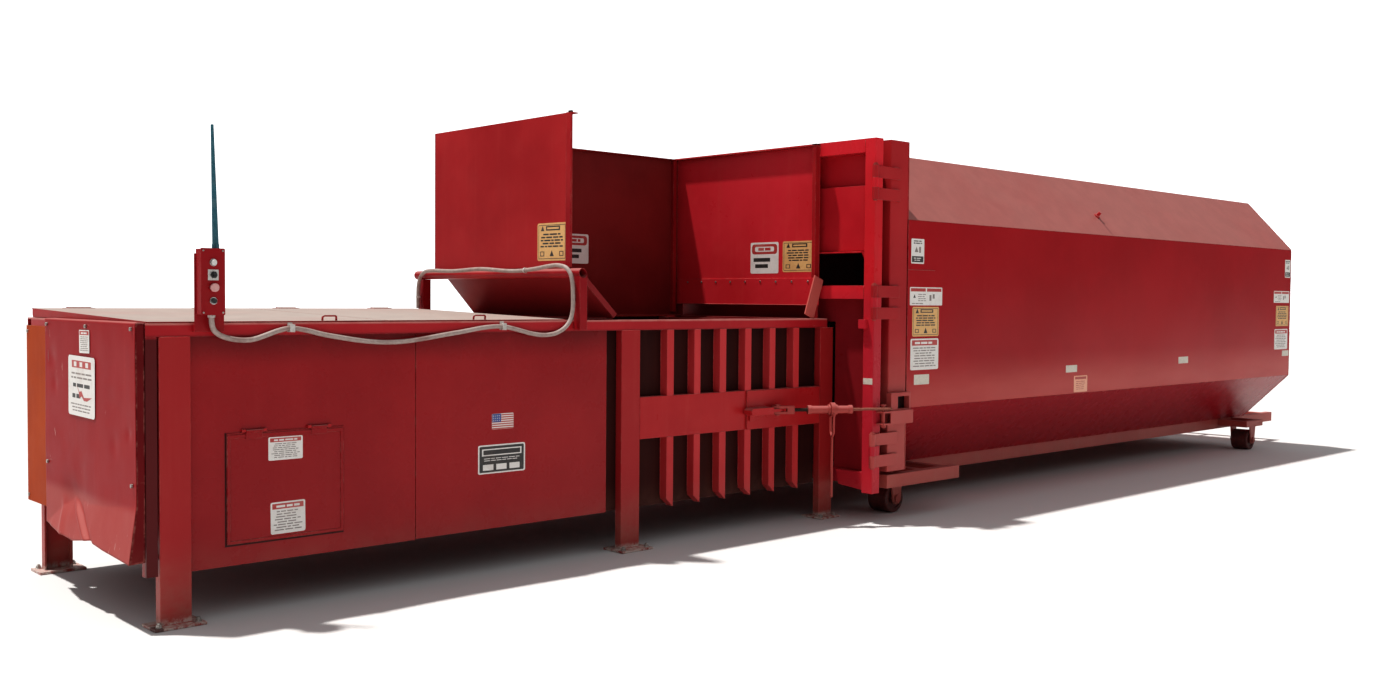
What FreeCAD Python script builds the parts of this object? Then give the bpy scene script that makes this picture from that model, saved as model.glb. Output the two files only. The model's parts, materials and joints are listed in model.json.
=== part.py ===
import FreeCAD, Part
import os
import math
from FreeCAD import Vector as V

os.makedirs("parts", exist_ok=True)

# ---------------------------------------------------------------------------
# Stationary trash compactor docked to a roll-off receiver container.
# All lengths are millimetres.  Working axes while building:
#   X  along the machine, 0 at the rear end of the deck rim, + towards the container
#   Y  across, 0 on the centre plane, the operator side is -Y
#   Z  up, 0 on the ground
# Everything is shifted at the end so that the origin is the bottom centre of
# the bounding box.
# ---------------------------------------------------------------------------

# ---- driving dimensions -----------------------------------------------------
X_REAR = -80.0          # rearmost point, the kicked-out foot of the rear cover
X_NOSE = 12000.0        # front end of the container's long rails
HALF_W = 815.0          # half width of the compactor body
DECK_Z = 1351.0         # top of the deck rim
RIM_Z0 = 1290.0         # lower edge of the deck rim angle
RIM_END = 4532.0        # front end of the deck rim
FLOOR_Z = 372.0         # top of the charge chamber floor
SKIRT_Z = 235.0         # lower edge of the side panels and walls
LEG_X = [(58.0, 198.0), (2709.0, 2852.0), (4463.0, 4595.0)]
LEG_D = 51.0            # depth of a leg channel
WALL_Y = 750.0          # inner face of the charge chamber walls
WALL_T = 8.0
RIB_X = [(3066.0, 3121.0), (3291.0, 3344.0), (3511.0, 3567.0),
         (3737.0, 3793.0), (3964.0, 4018.0), (4192.0, 4248.0)]
BAND_Z = (646.0, 894.0)  # wide side band over the ribs
BAND_STEP_X = 3750.0     # where the thicker binder plate starts on the band
SNOUT_END = 4720.0      # front end of the throat inside the container door
HOP_XR = 2375.0         # hopper rear wall
HOP_XF = 4500.0         # hopper front wall, outer face
HOP_Y0 = -765.0         # open side edge of the hopper end walls
HOP_Y1 = 655.0          # hopper far wall, outer face
HOP_TOP = 2522.0
HATCH = (370.0, 955.0, 328.0, 843.0)   # x0, x1, z0, z1 of the access hatch
RAM_X0, RAM_FACE = 1000.0, 2620.0
RAM_STROKE = 2000.0
BORE_R, PISTON_R, ROD_R = 80.0, 79.95, 45.0
CYL_Z = 760.0           # cylinder axis height
C_W = 1220.0            # half width of the container
C_X0, C_X1 = 4885.0, 11270.0   # container shell
C_OCT = [(-1220.0, 752.0), (-1220.0, 2022.0), (-765.0, 2520.0), (765.0, 2520.0),
         (1220.0, 2022.0), (1220.0, 752.0), (765.0, 300.0), (-765.0, 300.0)]
C_T = 5.0               # shell plate
POST_X = (4688.0, 4879.0)      # end frame posts
POST_Z = (334.0, 2540.0)
DOOR_X = (4527.0, 4607.0)      # door frame tubes
DOOR_Z = (200.0, 2540.0)
STILE_W = 90.0
HINGE_AX = (4497.0, 1243.0)    # door hinge axis: x, |y|
HINGE_Z = [377.0, 1352.0, 2134.0]
STRAP_H, STRAP_GAP = 78.0, 66.0
ROLLER_R, ROLLER_W = 100.0, 160.0
ROLLER_X = [5030.0, 10870.0]
ROLLER_Y = 940.0
AXLE_R = 20.0
BIND_Z = 762.0                 # binder axis height
LUG_P = (3985.0, 870.0)        # binder jaw pin: x, |y|
EAR_P = (4585.0, 1262.0)       # container ear pin: x, |y|
PIN_R = 12.0
BOX_X = (211.0, 313.0)         # control box
BOX_Z = (1390.0, 1680.0)
BOX_Y = (-909.0, -845.0)
ENTRY_X, ENTRY_Y = 267.0, -877.0   # conduit entry in the box floor
SPARE_X = 229.0                # spare cable entry beside it
CONDUIT_D = 24.0

NODES = {}

# Small pieces of one body that share a file; each stays a solid of its own.
GROUP = {
    "leg_base_plates": "legs", "anchor_bolts": "fasteners", "cover_screws": "fasteners",
    "control_box_screws": "fasteners", "strip_rivets": "fasteners",
    "cover_standoffs": "deck_rim", "rear_frame": "deck_rim",
    "side_panel_rear_near": "side_panels", "side_panel_front_near": "side_panels",
    "side_panels_far": "side_panels", "panel_splices": "side_panels",
    "floor_beams": "floor", "floor_plate": "floor",
    "throat": "chamber_walls", "ram_guide_rails": "chamber_walls",
    "wall_ribs_near": "wall_ribs", "wall_ribs_far": "wall_ribs",
    "binder_plates": "side_bands",
    "lid_handle_rear": "deck_lid_rear", "lid_handle_front": "deck_lid_front",
    "hatch_hinge_pins": "lid_hinge_pins",
    "hopper_front_strip": "hopper_front_wall", "hopper_edge_posts": "hopper_trim", "post_caps": "hopper_trim",
    "hopper_cross_tube": "hopper_tube_frame", "hopper_posts": "hopper_tube_frame",
    "hopper_braces": "hopper_base", "hopper_apron": "hopper_base", "breaker_bar": "hopper_base", "hopper_base_angles": "hopper_base",
    "hopper_buttresses": "hopper_base", "front_corner_plates": "hopper_base",
    "rod_pin": "ram_shell", "ram_clevis": "ram_shell", "rod_eye": "cylinder_rod", "cylinder_piston": "cylinder_rod",
    "cylinder_gland": "cylinder_barrel", "barrel_foot": "cylinder_barrel", "anchor_pin": "cylinder_barrel",
    "cylinder_anchor": "cylinder_barrel",
    "tank_feet": "hydraulic_tank", "filler_cap": "hydraulic_tank",
    "hydraulic_pump": "power_unit", "valve_block": "power_unit", "electric_motor": "power_unit",
    "control_bracket": "control_box", "mast_base": "control_box",
    "legend_plates": "operator_sleeves",
    "conduit_gland": "conduit_fittings", "conduit_clips": "conduit_fittings", "conduit_ties": "conduit_fittings",
    "binder_jaw_near": "binder_near", "binder_jaw_pin_near": "binder_near", "binder_hook_near": "binder_near",
    "binder_barrel_near": "binder_near", "binder_screw_near": "binder_near",
    "binder_jaw_far": "binder_far", "binder_jaw_pin_far": "binder_far", "binder_hook_far": "binder_far",
    "binder_barrel_far": "binder_far", "binder_screw_far": "binder_far",
    "container_side_near": "container_sides", "container_side_far": "container_sides",
    "container_slopes_upper": "container_slopes", "container_slopes_lower": "container_slopes",
    "container_roof": "container_slopes", "container_floor": "container_underframe",
    "nose_ribs": "container_nose_wall", "end_corner_plates": "container_end_frame",
    "container_cross_members": "container_underframe", "container_rails": "container_underframe",
    "hoist_hook": "container_underframe",
    "roller_outriggers": "roller_carriers", "roller_brackets": "roller_carriers",
    "hinge_pins": "container_pins", "ear_pins": "container_pins", "roller_axles": "container_pins",
    "container_ears": "container_brackets", "ear_pockets": "container_brackets", "slope_plug": "container_brackets",
    "hinge_straps": "container_brackets",
    "door_upper_plate": "door_sheets", "door_shelf": "door_fittings", "door_mullions": "door_fittings",
    "door_guides": "door_fittings", "door_knuckles": "door_fittings", "door_tab": "door_fittings",
}


def add(name, *shapes):
    NODES.setdefault(GROUP.get(name, name), []).extend(shapes)


def box(x0, x1, y0, y1, z0, z1):
    return Part.makeBox(x1 - x0, y1 - y0, z1 - z0, V(x0, y0, z0))


def cyl(r, h, p, d):
    return Part.makeCylinder(r, h, V(*p), V(*d))


def cone(r1, r2, h, p, d):
    return Part.makeCone(r1, r2, h, V(*p), V(*d))


def prism(pts, plane, a, b):
    """Polygon in a plane, extruded from a to b along the third axis."""
    if plane == "xz":
        w = [V(p[0], a, p[1]) for p in pts]
        d = V(0, b - a, 0)
    elif plane == "yz":
        w = [V(a, p[0], p[1]) for p in pts]
        d = V(b - a, 0, 0)
    else:
        w = [V(p[0], p[1], a) for p in pts]
        d = V(0, 0, b - a)
    s = Part.Face(Part.makePolygon(w + [w[0]])).extrude(d)
    if s.Volume < 0:
        s.reverse()
    return s


def slab(p, q, width, t, centre_y):
    """Flat bar whose centre line runs from p to q in the xz plane."""
    dx, dz = q[0] - p[0], q[1] - p[1]
    n = math.hypot(dx, dz)
    ox, oz = -dz / n * t / 2, dx / n * t / 2
    pts = [(p[0] + ox, p[1] + oz), (q[0] + ox, q[1] + oz),
           (q[0] - ox, q[1] - oz), (p[0] - ox, p[1] - oz)]
    return prism(pts, "xz", centre_y - width / 2, centre_y + width / 2)


def fuse(*s):
    out = s[0].multiFuse(list(s[1:])) if len(s) > 1 else s[0]
    out = out.removeSplitter()
    return out.Solids[0] if len(out.Solids) == 1 else out


def cut(a, *b):
    out = a
    for t in b:
        out = out.cut(t)
    return out.Solids[0] if len(out.Solids) == 1 else out


def mirror_y(s):
    return s.mirror(V(0, 0, 0), V(0, 1, 0))


def both(name_near, name_far, *shapes):
    add(name_near, *shapes)
    add(name_far, *[mirror_y(s) for s in shapes])


def bend_wire(pts, rmax=None):
    """Straight runs joined by tangent arcs, each as large as its two runs allow."""
    P = [V(*p) for p in pts]
    edges, radii = [], []
    start = P[0]
    for i in range(1, len(P) - 1):
        a, b, c = P[i - 1], P[i], P[i + 1]
        u = b.sub(a)
        lu = u.Length
        u = V(u.x / lu, u.y / lu, u.z / lu)
        w = c.sub(b)
        lw = w.Length
        w = V(w.x / lw, w.y / lw, w.z / lw)
        turn = math.acos(max(-1.0, min(1.0, u.dot(w))))
        if turn < 1e-4:
            continue
        r = 0.45 * min(lu, lw) / math.tan(turn / 2)
        if rmax:
            r = min(r, rmax)
        t = r * math.tan(turn / 2)
        p1 = b.sub(V(u.x * t, u.y * t, u.z * t))
        p2 = b.add(V(w.x * t, w.y * t, w.z * t))
        bis = w.sub(u)
        bis = V(bis.x / bis.Length, bis.y / bis.Length, bis.z / bis.Length)
        cen = b.add(V(*[k * r / math.cos(turn / 2) for k in (bis.x, bis.y, bis.z)]))
        m = b.sub(cen)
        m = V(m.x / m.Length, m.y / m.Length, m.z / m.Length)
        mid = cen.add(V(m.x * r, m.y * r, m.z * r))
        if start.sub(p1).Length > 1e-6:
            edges.append(Part.LineSegment(start, p1).toShape())
        edges.append(Part.Arc(p1, mid, p2).toShape())
        radii.append(r)
        start = p2
    edges.append(Part.LineSegment(start, P[-1]).toShape())
    return Part.Wire(edges), radii


def rod(pts, r, rmax=None):
    """Round bar or tube outside along a bent path."""
    w, radii = bend_wire(pts, rmax)
    p0, p1 = V(*pts[0]), V(*pts[1])
    d = p1.sub(p0)
    c = Part.Wire(Part.makeCircle(r, p0, d))
    s = w.makePipeShell([c], True, False)
    if s.Volume < 0:
        s.reverse()
    return s, w, radii


def hexagon(cx, cy, z0, z1, af):
    r = af / 2 / math.cos(math.pi / 6)
    pts = [(cx + r * math.cos(math.pi / 3 * k), cy + r * math.sin(math.pi / 3 * k)) for k in range(6)]
    return prism(pts, "xy", z0, z1)


def hex_y(cx, cz, y0, y1, af):
    r = af / 2 / math.cos(math.pi / 6)
    pts = [(cx + r * math.cos(math.pi / 3 * k), cz + r * math.sin(math.pi / 3 * k)) for k in range(6)]
    return prism(pts, "xz", y0, y1)


# ---------------------------------------------------------------------------
# Compactor frame
# ---------------------------------------------------------------------------
def leg(x0, x1):
    """Rolled channel, web on the outside, slightly rounded toes."""
    outer = box(x0, x1, -HALF_W, -HALF_W + LEG_D, 12, RIM_Z0)
    inner = box(x0 + 9, x1 - 9, -HALF_W + 7, -HALF_W + LEG_D + 1, 11, RIM_Z0 + 1)
    s = cut(outer, inner)
    es = [e for e in s.Edges
          if abs(e.BoundBox.XLength) < 1e-6 and abs(e.BoundBox.YLength) < 1e-6
          and abs(e.BoundBox.YMin + HALF_W) < 1e-6]
    return s.makeFillet(3.0, es)


for i, (x0, x1) in enumerate(LEG_X):
    l = leg(x0, x1)
    add("legs", l, mirror_y(l))
    # base plate wider than the channel, with two anchor holes outboard of it
    px0, px1 = x0 - 40, x1 + 50
    py0, py1 = -HALF_W - 70, -HALF_W + 110
    if i == 0:
        # shorter, so that a cable dropped from the control box passes beside it
        py0 = -HALF_W - 45
    if i == 2:
        px0, px1 = x0 - 50, x1 + 8
    plate = box(px0, px1, py0, py1, 0, 12)
    ax = [(px0 + 28, py0 + 30), (px1 - 28, py0 + 30)]
    plate = cut(plate, *[cyl(9.5, 14, (hx, hy, -1), (0, 0, 1)) for hx, hy in ax])
    add("leg_base_plates", plate, mirror_y(plate))
    for hx, hy in ax:
        stud = fuse(cyl(8, 34, (hx, hy, 0), (0, 0, 1)), hexagon(hx, hy, 12, 26, 24),
                    cut(cyl(15, 3, (hx, hy, 12), (0, 0, 1))))
        add("anchor_bolts", stud, mirror_y(stud))

# deck rim: angle iron along both sides, flat bars at the ends
rim_n = prism([(-HALF_W, RIM_Z0), (-HALF_W, DECK_Z), (-HALF_W + 61, DECK_Z), (-HALF_W + 61, DECK_Z - 7),
               (-HALF_W + 7, DECK_Z - 7), (-HALF_W + 7, RIM_Z0)], "yz", 0, RIM_END)
add("deck_rim", rim_n, mirror_y(rim_n),
    box(0, 7, -HALF_W + 61, HALF_W - 61, RIM_Z0, DECK_Z),
    box(2560, 2640, -HALF_W + 61, HALF_W - 61, DECK_Z - 12, DECK_Z - 2),
    box(2310, 2560, -HALF_W + 61, HALF_W - 61, DECK_Z - 8, DECK_Z - 2))

# rear frame: corner angles, bottom bar and a middle post for the split rear face
for s in (-1, 1):
    ya = sorted([s * (HALF_W - 2), s * (HALF_W - 8)])
    yb = sorted([s * (HALF_W - 8), s * (HALF_W - 52)])
    zf = SKIRT_Z if s < 0 else 390
    add("rear_frame", box(0, 50, ya[0], ya[1], zf, RIM_Z0), box(0, 6, yb[0], yb[1], zf, RIM_Z0))
add("rear_frame", box(0, 50, -HALF_W + 52, 405, 300, 308),
    box(0, 40, 405, 431, 300, RIM_Z0), box(0, 40, 431, HALF_W - 52, 390, 396))

# rear cover: flat sheet, creased at mid height with a kicked-out foot
cover = prism([(-38, 1354), (-42, 1354), (-42, 560), (X_REAR, 330), (X_REAR + 3.6, 328.4), (-38, 559)], "xz",
              -HALF_W + 5, 401)
cover_top = box(-38, 8, -HALF_W + 5, 401, 1351.2, 1354)
add("rear_cover", fuse(cover, cover_top))
add("rear_side_door", box(-6, -0.5, 425, HALF_W - 2, 390, 1310))
for (yy, zz) in [(-770, 1325), (360, 1325), (-770, 640), (360, 640), (-200, 1325)]:
    add("cover_screws", cut(cyl(9, 8, (-42, yy, zz), (-1, 0, 0))))
for (yy, zz) in [(450, 1280), (790, 1280), (450, 420), (790, 420)]:
    add("cover_screws", cyl(9, 6, (-6, yy, zz), (-1, 0, 0)))
# stand-off strips that carry the rear cover
add("cover_standoffs", box(-38, 0, -HALF_W + 12, -HALF_W + 52, 620, 1280), box(-38, 0, 351, 391, 620, 1280))

# side panels of the cylinder bay, set 30 mm inside the legs' faces
pn = box(198.5, 1358, -HALF_W + 30, -HALF_W + 35, SKIRT_Z - 4, RIM_Z0)
hx0, hx1, hz0, hz1 = HATCH
pn = cut(pn, box(hx0 + 22, hx1 - 22, -HALF_W + 20, -HALF_W + 50, hz0 + 22, hz1 - 22))
add("side_panel_rear_near", pn)
add("side_panel_front_near", box(1362, 2620, -HALF_W + 30, -HALF_W + 35, SKIRT_Z, RIM_Z0))
add("side_panels_far", box(198.5, 1358, HALF_W - 35, HALF_W - 30, SKIRT_Z, RIM_Z0),
    box(1362, 2620, HALF_W - 35, HALF_W - 30, SKIRT_Z, RIM_Z0))
# splice strips behind the panel seams and edge stiffeners at the bay's front end
for s in (-1, 1):
    y0, y1 = sorted([s * (HALF_W - 35), s * (HALF_W - 41)])
    add("panel_splices", box(1320, 1400, y0, y1, SKIRT_Z + 10, RIM_Z0 - 10))
    y0, y1 = sorted([s * (HALF_W - 35), s * (HALF_W - 60)])
    add("panel_splices", box(2560, 2620, y0, y1, SKIRT_Z, RIM_Z0))

# cross beams under the machine, then the floor plate
for xb in (120, 900, 1800, 2760, 3600, 4380):
    add("floor_beams", cut(box(xb, xb + 76, -WALL_Y, WALL_Y, SKIRT_Z + 10, FLOOR_Z - 12),
                           box(xb + 6, xb + 77, -WALL_Y - 1, WALL_Y + 1, SKIRT_Z + 18, FLOOR_Z - 20)))
add("floor_plate", box(60, SNOUT_END, -WALL_Y, WALL_Y, FLOOR_Z - 12, FLOOR_Z))

# charge chamber walls and throat top
for s in (-1, 1):
    y0, y1 = sorted([s * WALL_Y, s * (WALL_Y + WALL_T)])
    add("chamber_walls", box(2640, 4463, y0, y1, SKIRT_Z, DECK_Z - 7.2))
    add("throat", box(4463.5, SNOUT_END, y0, y1, FLOOR_Z - 12, 1300))
add("throat", box(4463.5, SNOUT_END, -WALL_Y, WALL_Y, 1288, 1300))
# guide rails for the ram, low along both chamber walls
for s in (-1, 1):
    y0, y1 = sorted([s * WALL_Y, s * (WALL_Y - 6)])
    add("ram_guide_rails", box(300, 4700, y0, y1, 440, 520))

# ribs on the outside of the chamber, cut on the skew at the bottom
def rib(x0, x1, z0, z1, sniped):
    if sniped:
        pts = [(x0, z0 + 48), (x1, z0), (x1, z1), (x0, z1)]
    else:
        pts = [(x0, z0), (x1, z0), (x1, z1), (x0, z1)]
    return prism(pts, "xz", -HALF_W, -WALL_Y - WALL_T)


for (x0, x1) in RIB_X:
    up = rib(x0, x1, BAND_Z[1], RIM_Z0, False)
    lo = rib(x0, x1, 222, BAND_Z[0], True)
    add("wall_ribs_near", up, lo)
    add("wall_ribs_far", mirror_y(up), mirror_y(lo))
# band channel across the ribs and the thicker binder plate on it
band = cut(box(2852.5, 4462.5, -HALF_W, -WALL_Y - WALL_T, BAND_Z[0], BAND_Z[1]),
           box(2852, 4463, -HALF_W + 9, -WALL_Y - WALL_T + 1, BAND_Z[0] + 8, BAND_Z[1] - 8))
add("side_bands", band, mirror_y(band))
pl = box(BAND_STEP_X, 4450, -HALF_W - 10, -HALF_W, BAND_Z[0] + 2, BAND_Z[1] - 2)
add("binder_plates", pl, mirror_y(pl))
# breaker bar across the front of the chamber mouth and deck cross plate behind the hopper
add("breaker_bar", box(4400, 4456, -WALL_Y, WALL_Y, 1262, 1338))
add("breaker_bar", *[cut(box(4388, 4400, y - 60, y + 60, 1262, 1300)) for y in (-560, -280, 0, 280, 560)])

# ---------------------------------------------------------------------------
# Deck lids, hinged along the far edge
# ---------------------------------------------------------------------------
LID_HINGE_Y, LID_HINGE_Z = 806.0, 1392.0
LID_X = [(12.0, 1186.0), (1192.0, 2302.0)]


def lid(x0, x1):
    z0, z1 = 1353.0, 1396.0
    top = prism([(-808, z0), (-808, z0 + 4), (786, z1 + 4), (786, z1)], "yz", x0, x1)
    # triangular end lips that close the gap to the rim
    lips = []
    for xa in (x0, x1 - 4):
        lips.append(prism([(-790, z0 + 0.4), (770, z1 - 0.5), (770, 1352.5), (-790, 1352.5)], "yz", xa, xa + 4))
    far = box(x0, x1, 770, 774, 1362, z1)
    s = fuse(top, *lips)
    s = fuse(s, far)
    for xs in (x0 + (x1 - x0) * 0.33, x0 + (x1 - x0) * 0.67):
        s = fuse(s, prism([(-700, z0 + 3.2), (760, z1 - 0.6), (760, z1 - 22), (-700, z0 - 0.2)], "yz", xs, xs + 5))
    return s


for n, (x0, x1) in zip(("deck_lid_rear", "deck_lid_front"), LID_X):
    body = lid(x0, x1)
    kn = []
    for xk in (x0 + 180, x1 - 300):
        k = cut(fuse(cyl(15, 120, (xk, LID_HINGE_Y, LID_HINGE_Z), (1, 0, 0)),
                     box(xk, xk + 120, 770, LID_HINGE_Y, LID_HINGE_Z + 3, LID_HINGE_Z + 11)),
                cyl(9.06, 122, (xk - 1, LID_HINGE_Y, LID_HINGE_Z), (1, 0, 0)))
        kn.append(k)
        # pin with its two fixed cheeks on the rim
        pin = fuse(cyl(9.0, 160, (xk - 20, LID_HINGE_Y, LID_HINGE_Z), (1, 0, 0)),
                   box(xk - 20, xk - 3, LID_HINGE_Y - 14, LID_HINGE_Y + 9, DECK_Z, LID_HINGE_Z + 10),
                   box(xk + 123, xk + 140, LID_HINGE_Y - 14, LID_HINGE_Y + 9, DECK_Z, LID_HINGE_Z + 10))
        add("lid_hinge_pins", pin)
    add(n, fuse(body, *kn))
    # lifting handle at the operator-side edge, bent round bar
    for xh in (884.0 if x0 < 100 else 1746.0,):
        h, _, _ = rod([(xh - 36, -783, 1357.0), (xh - 36, -787, 1381), (xh + 36, -787, 1381), (xh + 36, -783, 1357.0)],
                      5.0, 12.0)
        h = max(h.cut(body).Solids, key=lambda q: q.Volume)
        add(n.replace("deck_lid", "lid_handle"), h)

# ---------------------------------------------------------------------------
# Hopper: three walls, open to the operator side and above
# ---------------------------------------------------------------------------
add("hopper_rear_wall", box(HOP_XR, HOP_XR + 5, HOP_Y0, HOP_Y1 - 5, 1648, HOP_TOP))
add("hopper_far_wall", cut(box(HOP_XR, HOP_XF, HOP_Y1 - 5, HOP_Y1, DECK_Z, HOP_TOP),
                           prism([(HOP_XR - 1, DECK_Z - 1), (2694, DECK_Z - 1), (2428, 1640), (2407, 1646), (HOP_XR - 1, 1646)],
                                 "xz", HOP_Y1 - 10, HOP_Y1 + 5)))
add("hopper_front_wall", box(HOP_XF - 5, HOP_XF, HOP_Y0, HOP_Y1 - 5, 1440, HOP_TOP))
add("hopper_front_strip", box(HOP_XF - 11, HOP_XF - 5, HOP_Y0 + 30, HOP_Y1 - 5.5, 1440, 1625))
for k in range(9):
    add("strip_rivets", cyl(7, 4, (HOP_XF - 11, HOP_Y0 + 90 + k * 150, 1602), (-1, 0, 0)))
# trim: top flange on the inner side of each wall, edge stiffeners and corner angles
add("hopper_trim",
    box(HOP_XR + 5, HOP_XR + 43, HOP_Y0, HOP_Y1 - 5, HOP_TOP - 6, HOP_TOP),
    box(HOP_XR + 43, HOP_XF - 43, HOP_Y1 - 43, HOP_Y1 - 5, HOP_TOP - 6, HOP_TOP),
    box(HOP_XF - 43, HOP_XF - 5, HOP_Y0 + 40, HOP_Y1 - 5, HOP_TOP - 6, HOP_TOP),
    box(HOP_XF - 75, HOP_XF - 45, HOP_Y1 - 35, HOP_Y1 - 5, DECK_Z + 30, HOP_TOP - 6),
    box(HOP_XF, HOP_XF + 3, HOP_Y0, HOP_Y1, HOP_TOP - 46, HOP_TOP))
add("hopper_edge_posts",
    cut(box(HOP_XF - 45, HOP_XF - 5, HOP_Y0, HOP_Y0 + 30, 1627, HOP_TOP - 6)),
    box(HOP_XR - 8, HOP_XR, HOP_Y0, HOP_Y0 + 44, 1650, HOP_TOP))
# black plastic caps on the open ends of the corner posts
add("post_caps", box(HOP_XF - 47, HOP_XF - 5, HOP_Y0 - 3, HOP_Y0 + 32, HOP_TOP - 6, HOP_TOP + 8),
    box(HOP_XR - 10, HOP_XR + 4.9, HOP_Y0 - 4, HOP_Y0 + 22, HOP_TOP, HOP_TOP + 8))
# rear tube frame that carries the rear wall: cross tube with two posts
TUBE_R, TUBE_Z, TUBE_X = 27.5, 1616.0, 2378.0
cross = cut(cyl(TUBE_R, 1730, (TUBE_X, -865, TUBE_Z), (0, 1, 0)),
            cyl(TUBE_R - 4, 80, (TUBE_X, -866, TUBE_Z), (0, 1, 0)))
near_post = cut(box(2354, 2405, -872, -817, 1300, 1625), cyl(TUBE_R, 1800, (TUBE_X, -900, TUBE_Z), (0, 1, 0)))
near_post = max(near_post.Solids, key=lambda s: s.Volume)
far_post = box(2350, 2405, 753, 812, DECK_Z, 1588)
add("hopper_cross_tube", cross)
add("hopper_posts", near_post, far_post, box(2350, 2405, -817, -815, 1300, 1345))
# sloping apron below the rear wall, with its near side brace bar
APRON_A, APRON_B = (2421.0, 1640.0), (2684.0, 1362.0)
add("hopper_apron", slab(APRON_A, APRON_B, 1400, 6, -60), )
add("hopper_braces", slab((2430, 1612), (2684, 1374), 12, 34, -779),
    slab((4372, DECK_Z + 16.5), (4469, 1626), 10, 92, -790))
add("hopper_base_angles", box(2700, HOP_XF - 12, HOP_Y1 - 65, HOP_Y1 - 5.2, DECK_Z, DECK_Z + 8),
    box(2640, 2700, -745, HOP_Y1 - 5.2, DECK_Z - 2, DECK_Z + 5))
# far side buttress plates that stiffen the tall wall
for xb in (2900, 3700, 4380):
    add("hopper_buttresses", prism([(HOP_Y1, DECK_Z), (800, DECK_Z), (HOP_Y1, 2050)], "yz", xb, xb + 8))
# lower front: filler plates that close the gap beside the hopper's front wall feet
add("front_corner_plates", box(HOP_XF - 5, HOP_XF, -758, -690, DECK_Z + 1, 1440),
    box(HOP_XF - 5, HOP_XF, 590, 650, DECK_Z + 1, 1440),
    box(RIM_END - 50, RIM_END, -754, 754, 1301, DECK_Z))

# ---------------------------------------------------------------------------
# Ram, cylinder and power unit
# ---------------------------------------------------------------------------
RZ0, RZ1, RY = 384.0, 1200.0, 736.0
add("ram_shell",
    box(RAM_FACE - 22, RAM_FACE, -RY, RY, RZ0, RZ1),
    box(RAM_X0, RAM_FACE - 22, -RY, RY, RZ1 - 12, RZ1),
    box(RAM_X0, RAM_FACE - 22, -RY, -RY + 12, RZ0, RZ1 - 12),
    box(RAM_X0, RAM_FACE - 22, RY - 12, RY, RZ0, RZ1 - 12),
    box(RAM_FACE - 34, RAM_FACE - 22, -160, 160, 560, 960),
    box(RAM_X0 + 60, RAM_X0 + 72, -RY + 12, RY - 12, 960, RZ1 - 12),
    box(1900, 1912, -RY + 12, -180, RZ0 + 60, RZ1 - 12), box(1900, 1912, 180, RY - 12, RZ0 + 60, RZ1 - 12))
for s in (-1, 1):
    y0, y1 = sorted([s * (RY - 70), s * (RY - 10)])
    add("ram_wear_shoes", box(RAM_X0, RAM_FACE - 60, y0, y1, FLOOR_Z, RZ0))
    y0, y1 = sorted([s * RY, s * (RY + 7)])
    add("ram_wear_shoes", box(RAM_X0 + 20, RAM_FACE - 60, y0, y1, 440, 516))
# clevis on the ram's back face and the rod's eye held by a pin
for s in (-1, 1):
    y0, y1 = sorted([s * 42, s * 72])
    add("ram_clevis", cut(box(2446, RAM_FACE - 34, y0, y1, CYL_Z - 70, CYL_Z + 70),
                          cyl(30.2, 200, (2510, -100, CYL_Z), (0, 1, 0))))
add("rod_pin", fuse(cyl(30.0, 164, (2510, -82, CYL_Z), (0, 1, 0)), cyl(40, 8, (2510, -90, CYL_Z), (0, 1, 0))))
eye = cut(fuse(cyl(58, 80, (2510, -40, CYL_Z), (0, 1, 0)), cyl(36, 60, (2430, 0, CYL_Z), (1, 0, 0))),
          cyl(30.2, 90, (2510, -45, CYL_Z), (0, 1, 0)))
add("rod_eye", eye)
add("cylinder_rod", cyl(ROD_R, 2430 - 385, (385, 0, CYL_Z), (1, 0, 0)))
piston = cut(cyl(PISTON_R, 80, (305, 0, CYL_Z), (1, 0, 0)))
add("cylinder_piston", piston)
# barrel fixed to the rear cross member through a clevis foot
barrel = cut(cyl(95, 2160, (230, 0, CYL_Z), (1, 0, 0)), cyl(BORE_R, 2200, (262, 0, CYL_Z), (1, 0, 0)))
add("cylinder_barrel", barrel)
add("cylinder_gland", cut(cyl(104, 34, (2390, 0, CYL_Z), (1, 0, 0)), cyl(ROD_R + 0.06, 40, (2388, 0, CYL_Z), (1, 0, 0))))
foot = fuse(cut(cyl(50, 70, (180, -35, CYL_Z), (0, 1, 0))), box(180, 230, -35, 35, CYL_Z - 50, CYL_Z + 50))
foot = cut(foot, cyl(25.2, 80, (180, -40, CYL_Z), (0, 1, 0)))
add("barrel_foot", foot)
for s in (-1, 1):
    y0, y1 = sorted([s * 38, s * 66])
    add("cylinder_anchor", cut(box(80, 228, y0, y1, FLOOR_Z, CYL_Z + 60), cyl(25.2, 160, (180, -80, CYL_Z), (0, 1, 0))))
add("cylinder_anchor", box(60, 80, -220, 220, FLOOR_Z, CYL_Z + 120))
add("anchor_pin", fuse(cyl(25.0, 152, (180, -76, CYL_Z), (0, 1, 0)), cyl(34, 8, (180, -84, CYL_Z), (0, 1, 0))))

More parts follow.
